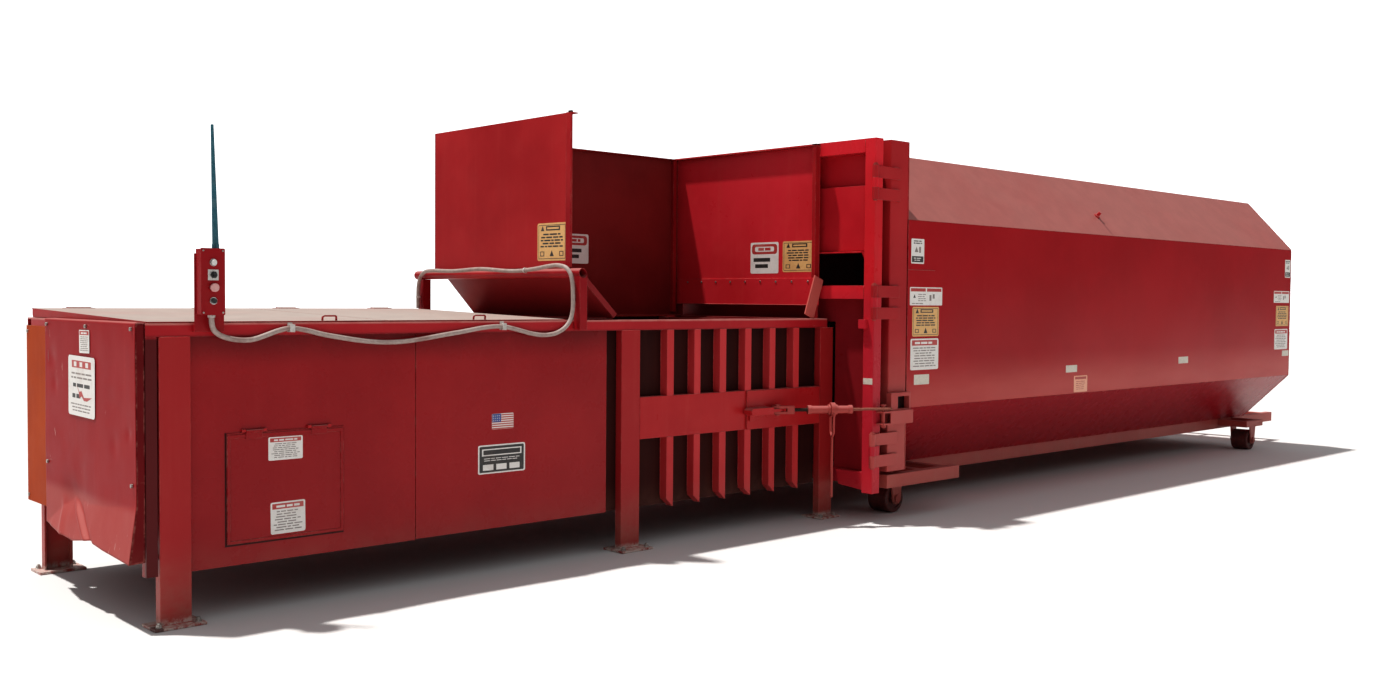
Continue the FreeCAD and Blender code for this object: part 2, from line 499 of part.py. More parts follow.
# power unit behind the access hatch
add("hydraulic_tank", box(300, 930, -730, -330, FLOOR_Z + 20, 700))
add("tank_feet", box(320, 380, -730, -330, FLOOR_Z, FLOOR_Z + 20), box(850, 910, -730, -330, FLOOR_Z, FLOOR_Z + 20))
mot = [cyl(118, 300, (330, -520, 838), (1, 0, 0))]
for k in range(12):
    a = 2 * math.pi * k / 12
    fin = box(0, 270, -4, 4, 110, 131)
    fin.rotate(V(0, 0, 0), V(1, 0, 0), math.degrees(a))
    fin.translate(V(345, -520, 838))
    mot.append(fin)
mot.append(box(400, 540, -600, -440, 700, 760))
mot.append(box(430, 530, -560, -480, 900, 990))
mot.append(cyl(100, 30, (302, -520, 838), (1, 0, 0)))
add("electric_motor", fuse(*mot))
add("hydraulic_pump", fuse(cyl(80, 60, (630, -520, 838), (1, 0, 0)), box(690, 800, -580, -460, 780, 896)))
add("valve_block", fuse(box(820, 910, -620, -430, 700, 800), cyl(24, 60, (865, -620, 750), (0, -1, 0)),
                        cyl(24, 60, (865, -430, 750), (0, 1, 0))))
cap = fuse(cyl(32, 30, (700, -400, 700), (0, 0, 1)), cyl(40, 16, (700, -400, 730), (0, 0, 1)))
add("filler_cap", cap)
l1, n1, r1 = rod([(865, -370, 750), (865, -300, 750), (865, -230, 900), (600, -180, 960), (330, -130, 960),
                  (280, -60, 900), (280, -20, 862)], 11.0, 90.0)
l2, n2, r2 = rod([(910, -520, 740), (960, -520, 740), (975, -420, 640), (975, -240, 575), (1000, -120, 590),
                  (1100, -96, 640)], 11.0, 80.0)
print("hydraulic lines %.0f and %.0f mm" % (n1.Length, n2.Length))
add("hydraulic_lines", l1)
add("hydraulic_lines", l2)

# ---------------------------------------------------------------------------
# Access hatch on the operator side
# ---------------------------------------------------------------------------
HH_Y, HH_Z = -HALF_W + 18.0, hz1 + 6.0
hatch = box(hx0, hx1, -HALF_W + 25, -HALF_W + 29, hz0, hz1)
rim_h = cut(box(hx0 + 3, hx1 - 3, -HALF_W + 21, -HALF_W + 25, hz0 + 3, hz1 - 8),
            box(hx0 + 16, hx1 - 16, -HALF_W + 20, -HALF_W + 26, hz0 + 16, hz1 - 24))
leafs = []
for xk in (hx0 + 90, hx1 - 170):
    k = cut(fuse(cyl(7, 80, (xk, HH_Y, HH_Z), (1, 0, 0)), box(xk, xk + 80, HH_Y, -HALF_W + 25, hz1 - 30, HH_Z)),
            cyl(3.56, 82, (xk - 1, HH_Y, HH_Z), (1, 0, 0)))
    k = cut(k, box(xk - 1, xk + 81, -HALF_W + 25, -HALF_W + 40, hz1 - 40, HH_Z + 20))
    leafs.append(k)
    pinb = fuse(cyl(3.5, 120, (xk - 20, HH_Y, HH_Z), (1, 0, 0)),
                box(xk - 20, xk - 2, HH_Y - 4, -HALF_W + 30, HH_Z - 4.5, HH_Z + 9),
                box(xk + 82, xk + 100, HH_Y - 4, -HALF_W + 30, HH_Z - 4.5, HH_Z + 9))
    add("hatch_hinge_pins", pinb)
add("access_hatch", fuse(hatch, rim_h, *leafs))

# ---------------------------------------------------------------------------
# Control station
# ---------------------------------------------------------------------------
bx0, bx1 = BOX_X
bz0, bz1 = BOX_Z
by0, by1 = BOX_Y
enc = cut(box(bx0, bx1, by0 + 6, by1, bz0, bz1), box(bx0 + 3, bx1 - 3, by0 + 5, by1 - 3, bz0 + 3, bz1 - 3))
OPX = 262.0
OPZ = [1620.0, 1565.0, 1509.0, 1450.0]
cover_c = box(bx0 - 3, bx1 + 3, by0, by0 + 6, bz0 - 3, bz1 + 3)
es = [e for e in cover_c.Edges if abs(e.BoundBox.XLength) < 1e-6 and abs(e.BoundBox.ZLength) < 1e-6]
cover_c = cover_c.makeFillet(5.0, es)
for z in OPZ:
    cover_c = cut(cover_c, cyl(11.3, 20, (OPX, by0 - 5, z), (0, 1, 0)))
# two cable entries in the box floor, the second one is a spare
enc = cut(enc, cyl(12.5, 8, (ENTRY_X, ENTRY_Y, bz0 - 2), (0, 0, 1)), cyl(12.5, 8, (SPARE_X, ENTRY_Y, bz0 - 2), (0, 0, 1)))
add("control_box", enc)
add("control_box_cover", cover_c)
for (sx, sz) in [(bx0 + 7, bz0 + 8), (bx1 - 7, bz0 + 8), (bx0 + 7, bz1 - 8), (bx1 - 7, bz1 - 8)]:
    add("control_box_screws", cyl(4, 3, (sx, by0, sz), (0, -1, 0)))
add("control_bracket", box(205, 338, -845, -839, 1312, 1660), box(205, 338, -839, -815, 1312, 1344))
# operator sleeves held in the cover, open down the middle
for z in OPZ:
    sl = fuse(cyl(11.2, 34, (OPX, by0 - 1, z), (0, 1, 0)), cyl(16.5, 5, (OPX, by0, z), (0, -1, 0)))
    add("operator_sleeves", cut(sl, cyl(8.06, 60, (OPX, by0 - 10, z), (0, 1, 0))))
add("legend_plates", cut(box(OPX - 24, OPX + 24, by0 - 1.2, by0, OPZ[1] - 24, OPZ[1] + 24),
                         cyl(16.6, 6, (OPX, by0 - 4, OPZ[1]), (0, 1, 0))))


def operator(z, head_r, head_len, gap):
    stem = cyl(8.0, 36, (OPX, by0 - 6, z), (0, 1, 0))
    head = cyl(head_r, head_len, (OPX, by0 - 5 - gap, z), (0, -1, 0))
    head = head.makeFillet(min(3.0, head_len * 0.35), [e for e in head.Edges if abs(e.BoundBox.YMin - (by0 - 5 - gap - head_len)) < 0.01 and e.BoundBox.YLength < 0.01])
    neck = cyl(8.0, gap + 1.5, (OPX, by0 - 5 - gap - 0.5, z), (0, 1, 0))
    return fuse(stem, neck, head)


add("start_button", operator(OPZ[0], 12.0, 6.0, 5.0))
add("stop_mushroom", operator(OPZ[2], 19.0, 12.0, 7.0))
add("reverse_button", operator(OPZ[3], 12.0, 6.0, 5.0))
sel = fuse(cyl(8.0, 36, (OPX, by0 - 6, OPZ[1]), (0, 1, 0)), cyl(14.5, 7, (OPX, by0 - 5.4, OPZ[1]), (0, -1, 0)),
           box(OPX - 4.5, OPX + 4.5, by0 - 24, by0 - 12, OPZ[1] - 14, OPZ[1] + 14))
add("selector_knob", sel)
# cable gland for the conduit
gl = cut(fuse(cyl(12.4, 10, (ENTRY_X, ENTRY_Y, bz0 - 4), (0, 0, 1)), hexagon(ENTRY_X, ENTRY_Y, bz0 - 14, bz0 - 4, 30)),
         cyl(CONDUIT_D / 2 + 0.2, 60, (ENTRY_X, ENTRY_Y, bz0 - 40), (0, 0, 1)))
add("conduit_gland", gl)

# slim tapered mast on the far end of the control bracket
MX, MY = 310.0, -822.0
mast = fuse(cone(14, 6.5, 535, (MX, MY, 1704), (-0.024, 0, 1)), cyl(16, 60, (MX, MY, 1645), (0, 0, 1)))
add("signal_mast", mast)
add("mast_base", box(MX - 24, MX + 24, -839, -812, 1400, 1644.9))

# ---------------------------------------------------------------------------
# Conduit, clipped along the rim, up the near post, along the tube, down the far post
# ---------------------------------------------------------------------------
CY = -HALF_W - 15.0
CONDUIT_PTS = [(ENTRY_X, ENTRY_Y, 1389), (ENTRY_X, ENTRY_Y, 1352), (278, -870, 1320), (308, -858, 1297), (354, -846, 1281),
               (412, -836, 1271), (476, CY, 1271), (540, CY, 1291), (600, CY, 1313), (664, CY, 1326), (740, CY, 1314),
               (830, CY, 1291), (930, CY, 1274), (1040, CY, 1257), (1150, CY, 1248), (1265, CY, 1250), (1385, CY, 1264),
               (1505, CY, 1282), (1620, CY, 1297), (1740, CY, 1317), (1860, CY, 1324), (1960, CY, 1303), (2050, CY, 1280),
               (2136, CY, 1269), (2218, CY - 1, 1278), (2280, CY - 3, 1308), (2320, CY - 4, 1354), (2335, CY - 4, 1416),
               (2336, CY - 3, 1484), (2334, CY - 1, 1556), (2330, CY + 12, 1614), (2325, CY + 50, 1650), (2322, -706, 1662),
               (2321, -620, 1656), (2321, -510, 1643), (2321, -400, 1634), (2321, -290, 1630), (2321, -180, 1634),
               (2321, -70, 1642), (2321, 40, 1648), (2321, 150, 1646), (2321, 260, 1640), (2321, 370, 1637),
               (2321, 480, 1640), (2321, 590, 1645), (2324, 690, 1640), (2328, 756, 1606), (2330, 782, 1546),
               (2331, 786, 1474), (2331, 786, 1402)]
cond, clen, crad = rod(CONDUIT_PTS, CONDUIT_D / 2)
LINE = clen.discretize(4000)
clen = clen.Length
print("conduit length %.1f mm, volume ratio %.4f" % (clen, cond.Volume / (math.pi * CONDUIT_D ** 2 / 4 * clen)))
print("conduit radii", " ".join("%.0f" % r for r in crad))
add("conduit", cond)
R2 = CONDUIT_D / 2 + 0.3


def near(key, value, lo, hi):
    """Point of the conduit's line where one coordinate has a value, inside an x range."""
    return min((q for q in LINE if lo < q.x < hi), key=lambda q: abs(getattr(q, key) - value))


def clip_rim(x):
    """Saddle clip on the rim's face: block with a round seat and a screwed foot."""
    q = near("x", x, x - 40, x + 40)
    b = fuse(box(x - 12, x + 12, q.y - 17, -HALF_W, q.z - 18, q.z + 18),
             box(x - 12, x + 12, -HALF_W - 4, -HALF_W, q.z + 17, min(q.z + 38, DECK_Z - 2)))
    return cut(b, cyl(R2 + 1.2, 60, (x - 30, q.y, q.z), (1, 0, 0)))


add("conduit_clips", clip_rim(666), clip_rim(1866))
q1 = near("z", 1475, 2320, 2345)
q2 = min(LINE, key=lambda q: abs(q.y + 400))
add("conduit_ties", cut(cyl(R2 + 3.6, 12, (q1.x, q1.y, q1.z - 6), (0, 0, 1)), cyl(R2 + 1.6, 20, (q1.x, q1.y, q1.z - 10), (0, 0, 1))),
    cut(cyl(R2 + 3.6, 12, (q2.x, q2.y - 6, q2.z), (0, 1, 0)), cyl(R2 + 1.6, 20, (q2.x, q2.y - 10, q2.z), (0, 1, 0))))

# ---------------------------------------------------------------------------
# Binder lugs on the compactor (near side, mirrored to the far side)
# ---------------------------------------------------------------------------
lx, ly = LUG_P
lug = fuse(box(3742, lx + 34, -895, -HALF_W - 10, BIND_Z - 10, BIND_Z + 10),
           box(3742, 3926, -895, -HALF_W - 10, BIND_Z - 22, BIND_Z + 22), cyl(22, 70, (3742, -895, BIND_Z), (0, 1, 0)))
lug = cut(lug, cyl(PIN_R + 0.3, 40, (lx, -ly, BIND_Z - 20), (0, 0, 1)))
g1 = prism([(3760, BIND_Z - 10), (3910, BIND_Z - 10), (3910, BIND_Z - 26), (3800, BIND_Z - 60), (3760, BIND_Z - 60)], "xz",
           -HALF_W - 26, -HALF_W - 10)
lug_all = fuse(lug, g1)
add("binder_lugs", lug_all, mirror_y(lug_all))

# ---------------------------------------------------------------------------
# Load binders
# ---------------------------------------------------------------------------
ex, ey = EAR_P
ALPHA = math.atan2(ey - ly, ex - lx)
BL = math.hypot(ey - ly, ex - lx)


def place(s):
    """From the binder's own axes (u along, v inboard) to the machine, near side."""
    t = s.copy()
    t.rotate(V(0, 0, 0), V(0, 0, 1), -math.degrees(ALPHA))
    t.translate(V(lx, -ly, BIND_Z))
    return t


# jaw with two prongs over and under the lug, pin through them
jaw = fuse(box(-20, 62, -20, 20, 10.8, 26), box(-20, 62, -20, 20, -26, -10.8), box(62, 110, -20, 20, -26, 26),
           cyl(20, 15.2, (-20, 0, 10.8), (0, 0, 1)), cyl(20, 15.2, (-20, 0, -26), (0, 0, 1)))
jaw = cut(jaw, cyl(PIN_R + 0.05, 80, (0, 0, -40), (0, 0, 1)))
jpin = fuse(cyl(PIN_R, 66, (0, 0, -34), (0, 0, 1)), cyl(18, 9, (0, 0, 26.2), (0, 0, 1)), cyl(17, 6, (0, 0, -34.2), (0, 0, 1)))
# turned barrel with end collars
bar = fuse(cyl(25, 288, (206, 0, 0), (1, 0, 0)), cyl(29, 26, (200, 0, 0), (1, 0, 0)), cyl(29, 26, (476, 0, 0), (1, 0, 0)),
           cyl(33, 12, (338, 0, 0), (1, 0, 0)), cyl(33, 12, (388, 0, 0), (1, 0, 0)))
bar = cut(bar, cyl(11.05, 60, (199, 0, 0), (1, 0, 0)), cyl(10.05, 60, (450, 0, 0), (1, 0, 0)))
# hook: bar that steps outboard, passes the ear pin and turns in around its far side
hk, hl, hr = rod([(470, 0, 0), (560, 0, 0), (612, -14, 3), (648, -24, 3), (766, -24, 3), (766, 11, 3)], 9.0, 26.0)
hk2 = cyl(10.0, 100, (455, 0, 0), (1, 0, 0))
hook = fuse(hk, hk2)
screw = cyl(11.0, 140, (110, 0, 0), (1, 0, 0))
for side in ("near", "far"):
    f = (lambda s: s) if side == "near" else mirror_y
    add("binder_jaw_" + side, f(place(jaw)))
    add("binder_jaw_pin_" + side, f(place(jpin)))
    add("binder_screw_" + side, f(place(screw)))
    add("binder_barrel_" + side, f(place(bar)))
    add("binder_hook_" + side, f(place(hook)))
    # ratchet yoke that rides on the barrel, with its long hanging bar
    yoke = cut(cyl(46, 30, (354, 0, 0), (1, 0, 0)), cyl(25.08, 40, (350, 0, 0), (1, 0, 0)))
    ly_, _, _ = rod([(369, -38, -22), (369, -33, -150), (369, 0, -186), (369, 33, -150), (369, 38, -22)], 8.0, 30.0)
    hb, _, _ = rod([(369, 0, -178), (369, 0, -330), (369, 2, -575)], 8.5, 200.0)
    yk = fuse(yoke, ly_, hb)
    add("ratchet_handle_" + side, f(place(yk)))

# ---------------------------------------------------------------------------
# Container
# ---------------------------------------------------------------------------
def offset_poly(pts, t):
    n = len(pts)
    out = []
    cx = sum(p[0] for p in pts) / n
    cz = sum(p[1] for p in pts) / n
    lines = []
    for i in range(n):
        a, b = pts[i], pts[(i + 1) % n]
        dx, dz = b[0] - a[0], b[1] - a[1]
        l = math.hypot(dx, dz)
        nx, nz = -dz / l, dx / l
        if (cx - a[0]) * nx + (cz - a[1]) * nz < 0:
            nx, nz = -nx, -nz
        lines.append(((a[0] + nx * t, a[1] + nz * t), (dx, dz)))
    for i in range(n):
        (p, d), (q, e) = lines[i - 1], lines[i]
        det = d[0] * (-e[1]) + e[0] * d[1]
        s = ((q[0] - p[0]) * (-e[1]) + e[0] * (q[1] - p[1])) / det
        out.append((p[0] + d[0] * s, p[1] + d[1] * s))
    return out


INNER = offset_poly(C_OCT, C_T)


def skin(i):
    j = (i + 1) % 8
    return prism([C_OCT[i], C_OCT[j], INNER[j], INNER[i]], "yz", C_X0, C_X1)


add("container_side_near", skin(0))
add("container_slopes_upper", skin(1), skin(3))
add("container_roof", skin(2))
add("container_side_far", skin(4))
add("container_slopes_lower", skin(5), skin(7))
add("container_floor", skin(6))
add("container_nose_wall", prism(C_OCT, "yz", C_X1, C_X1 + 6))
# nose wall stiffeners
for yy in (-700, -240, 200, 660):
    add("nose_ribs", box(C_X1 + 6, C_X1 + 56, yy, yy + 40, 560, 2300))
add("nose_ribs", box(C_X1 + 6, C_X1 + 70, -765, 765, 420, 500))
# end frame: two posts, head, sill; corner plates from the square frame to the eight-sided shell
px0, px1 = POST_X
for s in (-1, 1):
    y0, y1 = sorted([s * C_W, s * (C_W - 110)])
    p = box(px0, px1, y0, y1, POST_Z[0], POST_Z[1])
    es = [e for e in p.Edges if e.BoundBox.ZLength > 1000 and abs(abs(e.BoundBox.YMin) - C_W) < 1e-3]
    add("container_end_frame", p.makeFillet(8.0, es))
add("container_end_frame", box(px0, px1, -C_W + 110, C_W - 110, POST_Z[1] - 100, POST_Z[1]),
    box(px0, px1, -C_W + 110, C_W - 110, 222, 334))
for s in (-1, 1):
    tri1 = prism([(s * 1220.0, 2022.0), (s * 1220.0, 2540.0), (s * 748.0, 2540.0)], "yz", px1, C_X0)
    tri2 = prism([(s * 1220.0, 752.0), (s * 765.0, 300.0), (s * 1220.0, 300.0 + 34)], "yz", px1, C_X0)
    add("end_corner_plates", tri1, tri2)
add("end_corner_plates", box(px1, C_X0, -748, 748, 2520, 2540))
# rails, nose tie and cross members under the floor
for s in (-1, 1):
    y0, y1 = sorted([s * 765, s * 700])
    add("container_rails", box(C_X0, X_NOSE, y0, y1, 205, 300))
add("container_rails", box(X_NOSE - 90, X_NOSE, -700, 700, 215, 290))
for k in range(9):
    xc = 5300 + k * 700
    add("container_cross_members", box(xc, xc + 60, -700, 700, 232, 300))
# hoist hook under the nose
hkp = prism([(11600, 215), (11910, 215), (11910, 290), (11700, 290), (11600, 250)], "xz", -14, 14)
add("hoist_hook", hkp)
# outriggers that carry the rear and front rollers
for (xa, xb) in ((4688.0, 5514.0), (10560.0, 11180.0)):
    for s in (-1, 1):
        if xa < 5000:
            y0, y1 = sorted([s * 1220, s * 1150])
            add("roller_outriggers", box(xa, xb, y0, y1, 222, 310))
            y0, y1 = sorted([s * 1150, s * 766])
            add("roller_outriggers", box(px1 + 1, px1 + 71, y0, y1, 236, 296), box(5180, 5250, y0, y1, 236, 296),
                box(5444, 5514, y0, y1, 236, 296))
        else:
            y0, y1 = sorted([s * 1060, s * 766])
            add("roller_outriggers", box(xa + 120, xa + 190, y0, y1, 236, 296), box(xa + 430, xa + 500, y0, y1, 236, 296))
            y0, y1 = sorted([s * 1060, s * 1000])
            add("roller_outriggers", box(xa + 190, xa + 430, y0, y1, 236, 296))
for xr in ROLLER_X:
    for s in (-1, 1):
        for yc in (ROLLER_Y - 96, ROLLER_Y + 96):
            pts = [(xr - 62, 236), (xr - 40, 84), (xr - 22, 62), (xr + 22, 62), (xr + 40, 84), (xr + 62, 236)]
            pl_ = prism(pts, "xz", s * yc - 6, s * yc + 6)
            pl_ = cut(pl_, cyl(AXLE_R, 40, (xr, s * yc - 20, ROLLER_R), (0, 1, 0)))
            add("roller_brackets", pl_)
            if xr < 6000:
                y0, y1 = s * yc - 6, s * yc + 6
                add("roller_brackets", box(xr - 79, xr + 149, y0, y1, 236, 250))
        ax_ = fuse(cyl(AXLE_R, 212, (xr, s * ROLLER_Y - 106, ROLLER_R), (0, 1, 0)),
                   cyl(AXLE_R + 8, 8, (xr, s * ROLLER_Y - 114, ROLLER_R), (0, 1, 0)),
                   cyl(AXLE_R + 8, 8, (xr, s * ROLLER_Y + 106, ROLLER_R), (0, 1, 0)))
        add("roller_axles", ax_)
        r = cyl(ROLLER_R, ROLLER_W, (xr, s * ROLLER_Y - ROLLER_W / 2, ROLLER_R), (0, 1, 0))
        r = r.makeChamfer(5.0, [e for e in r.Edges if abs(e.BoundBox.YLength) < 0.01])
        r = cut(r, cyl(AXLE_R + 0.06, 200, (xr, s * ROLLER_Y - 100, ROLLER_R), (0, 1, 0)))
        for yy in (s * ROLLER_Y - 81, s * ROLLER_Y + 71):
            ring = cut(cyl(72, 10, (xr, yy, ROLLER_R), (0, 1, 0)), cyl(38, 10, (xr, yy, ROLLER_R), (0, 1, 0)))
            r = cut(r, ring)
        nm = "roller_%s_%s" % ("rear" if xr < 6000 else "front", "near" if s < 0 else "far")
        add(nm, r)

# ---------------------------------------------------------------------------
# Container door (docked): frame tubes, sheets, opening for the throat
# ---------------------------------------------------------------------------
dx0, dx1 = DOOR_X
dz0, dz1 = DOOR_Z
SY = C_W - STILE_W
for s in (-1, 1):
    y0, y1 = sorted([s * C_W, s * SY])
    p = box(dx0, dx1, y0, y1, dz0, dz1)
    es = [e for e in p.Edges if e.BoundBox.ZLength > 1000]
    add("door_frame", p.makeFillet(5.0, es))
add("door_frame", box(dx0, dx1, -SY, SY, dz1 - 90, dz1),
    box(dx0, dx1, -SY, SY, 1485, 1574),
    box(dx1 + 30, dx1 + 78, -SY, SY, 236, 336),
    box(dx1, dx1 + 30, -SY - 20, -SY + 60, 236, 336), box(dx1, dx1 + 30, SY - 60, SY + 20, 236, 336))
add("door_sheets",
    box(dx1 - 6, dx1, -SY, -830, 336, 1485), box(dx1 - 6, dx1, 830, SY, 336, 1485),
    box(dx1 - 6, dx1, -830, 830, 1330, 1485),
    box(dx1 - 6, dx1, -SY, SY, 2236, dz1 - 90))
add("door_upper_plate", box(4558, 4564, -SY, SY, 1806, 2236))
for s in (-1, 1):
    y0, y1 = sorted([s * SY, s * (SY - 40)])
    add("door_upper_plate", box(4564, dx1, y0, y1, 1806, 2236))
# shelf flange under the plate and the mullions across the long slot
add("door_shelf", box(4530, 4600, -SY + 30, SY - 30, 1792, 1802))
for s in (-1, 1):
    y0, y1 = sorted([s * (SY - 30), s * (SY)])
    add("door_shelf", prism([(4532, 1802), (4600, 1802), (4600, 1740), (4575, 1740)], "xz", y0, y1))
add("door_mullions", box(4560, dx1, -420, -380, 1574, 1790), box(4560, dx1, 380, 420, 1574, 1790))
# flared guide plates either side of the throat's foot
for s in (-1, 1):
    g = prism([(s * 1130.0, 210.0), (s * 1130.0, 330.0), (s * 880.0, 330.0), (s * 905.0, 232.0)], "yz", 4560, 4568)
    g2 = prism([(s * 1130.0, 325.0), (s * 880.0, 325.0), (s * 880.0, 333.0), (s * 1130.0, 333.0)], "yz", 4568, dx1)
    add("door_guides", g, g2)
# rubber seal between door and frame
add("door_seal", box(dx1 + 4, px0, -SY + 2, -SY + 30, 345, 2440), box(dx1 + 4, px0, SY - 30, SY - 2, 345, 2440),
    box(dx1 + 4, px0, -SY + 30, SY - 30, 2400, 2440))

# hinges: container straps with their knuckles, the door's knuckle between them, and the pins
hxx, hyy = HINGE_AX
for z0 in HINGE_Z:
    for zs in (z0, z0 + STRAP_H + STRAP_GAP):
        strap = box(hxx, 4775, -C_W - 16, -C_W - 1, zs, zs + STRAP_H)
        toe = box(px0 + 10, 4775, -C_W - 1, -C_W, zs, zs + STRAP_H)
        k = cut(fuse(strap, toe, cyl(21, STRAP_H, (hxx, -hyy, zs), (0, 0, 1))), cyl(12.0, STRAP_H + 2, (hxx, -hyy, zs - 1), (0, 0, 1)))
        add("hinge_straps", k)
    zk = z0 + STRAP_H + 1
    hk_ = STRAP_GAP - 2
    dk = cut(fuse(cyl(21, hk_, (hxx, -hyy, zk), (0, 0, 1)), box(hxx, dx0 + 30, -hyy - 8, -C_W, zk, zk + hk_)),
             cyl(12.06, hk_ + 2, (hxx, -hyy, zk - 1), (0, 0, 1)))
    add("door_knuckles", dk)
    pin = fuse(cyl(12.0, 2 * STRAP_H + STRAP_GAP + 24, (hxx, -hyy, z0 - 8), (0, 0, 1)),
               cyl(18, 8, (hxx, -hyy, z0 + 2 * STRAP_H + STRAP_GAP + 0.0), (0, 0, 1)))
    add("hinge_pins", pin)
# ears with their pins and pockets over them (both sides)
earp = []
plate = box(4562, 4879, -1284, -C_W - 2.4, 735, 747)
plate = cut(plate, cyl(PIN_R + 0.2, 40, (ex, -ey, 720), (0, 0, 1)))
low = box(4562, 4879, -1284, -C_W - 2.4, 657, 667)
low = cut(low, cyl(PIN_R + 0.2, 40, (ex, -ey, 640), (0, 0, 1)))
web = box(4640, 4879, -1284, -1274, 667, 735)
stub = box(4700, 4879, -C_W - 2.4, -C_W, 657, 747)
ear = fuse(plate, low, web, stub)
add("container_ears", ear, mirror_y(ear))
epin = fuse(cyl(PIN_R, 118, (ex, -ey, 657 + 10 - 30), (0, 0, 1)), cyl(PIN_R, 40, (ex, -ey, 750), (0, 0, 1)),
            hexagon(ex, -ey, 782, 794, 32), hexagon(ex, -ey, 641, 656.6, 32))
add("ear_pins", epin, mirror_y(epin))
for pk in (box(4668, 4740, -1262, -C_W, 747.5, 863), box(4862, 4879, -1262, -C_W, 747.5, 863),
           box(4740, 4862, -1262, -C_W, 747.5, 755), box(4740, 4862, -1262, -C_W, 838, 863)):
    add("ear_pockets", pk, mirror_y(pk))
# small closing tab on the door stile and vent plug on the upper slope
add("door_tab", box(4500, 4527, -SY - 40, -SY + 20, 1290, 1350))
vd = V(0, -(2520.0 - 2022.0), 455.0)
vd = V(0, vd.y / vd.Length, vd.z / vd.Length)
vp = V(7650, -1220 + 455 * 0.34, 2022 + 498 * 0.34)
add("slope_plug", fuse(Part.makeCylinder(26, 10, vp, vd), Part.makeCylinder(14, 44, vp, vd)))

# ---------------------------------------------------------------------------
# Shift to the bottom centre of the bounding box and write the parts
# ---------------------------------------------------------------------------
SHIFT = V(-(X_REAR + X_NOSE) / 2.0, 0, 0)
big = None
for name, shapes in sorted(NODES.items()):
    solids = []
    for s in shapes:
        solids.extend(s.Solids if s.Solids else [])
    for i, s in enumerate(solids):
        if not s.isValid() or s.Volume <= 0:
            print("BAD", name, i, s.isValid(), s.Volume)
    shape = solids[0] if len(solids) == 1 else Part.makeCompound(solids)
    shape = shape.copy()
    shape.translate(SHIFT)
    bb = shape.BoundBox
    big = bb if big is None else big.united(bb)
    shape.exportStep("parts/%s.step" % name)
print("nodes", len(NODES), "shift", SHIFT.x)
print("box", [round(v, 1) for v in (big.XMin, big.XMax, big.YMin, big.YMax, big.ZMin, big.ZMax)])
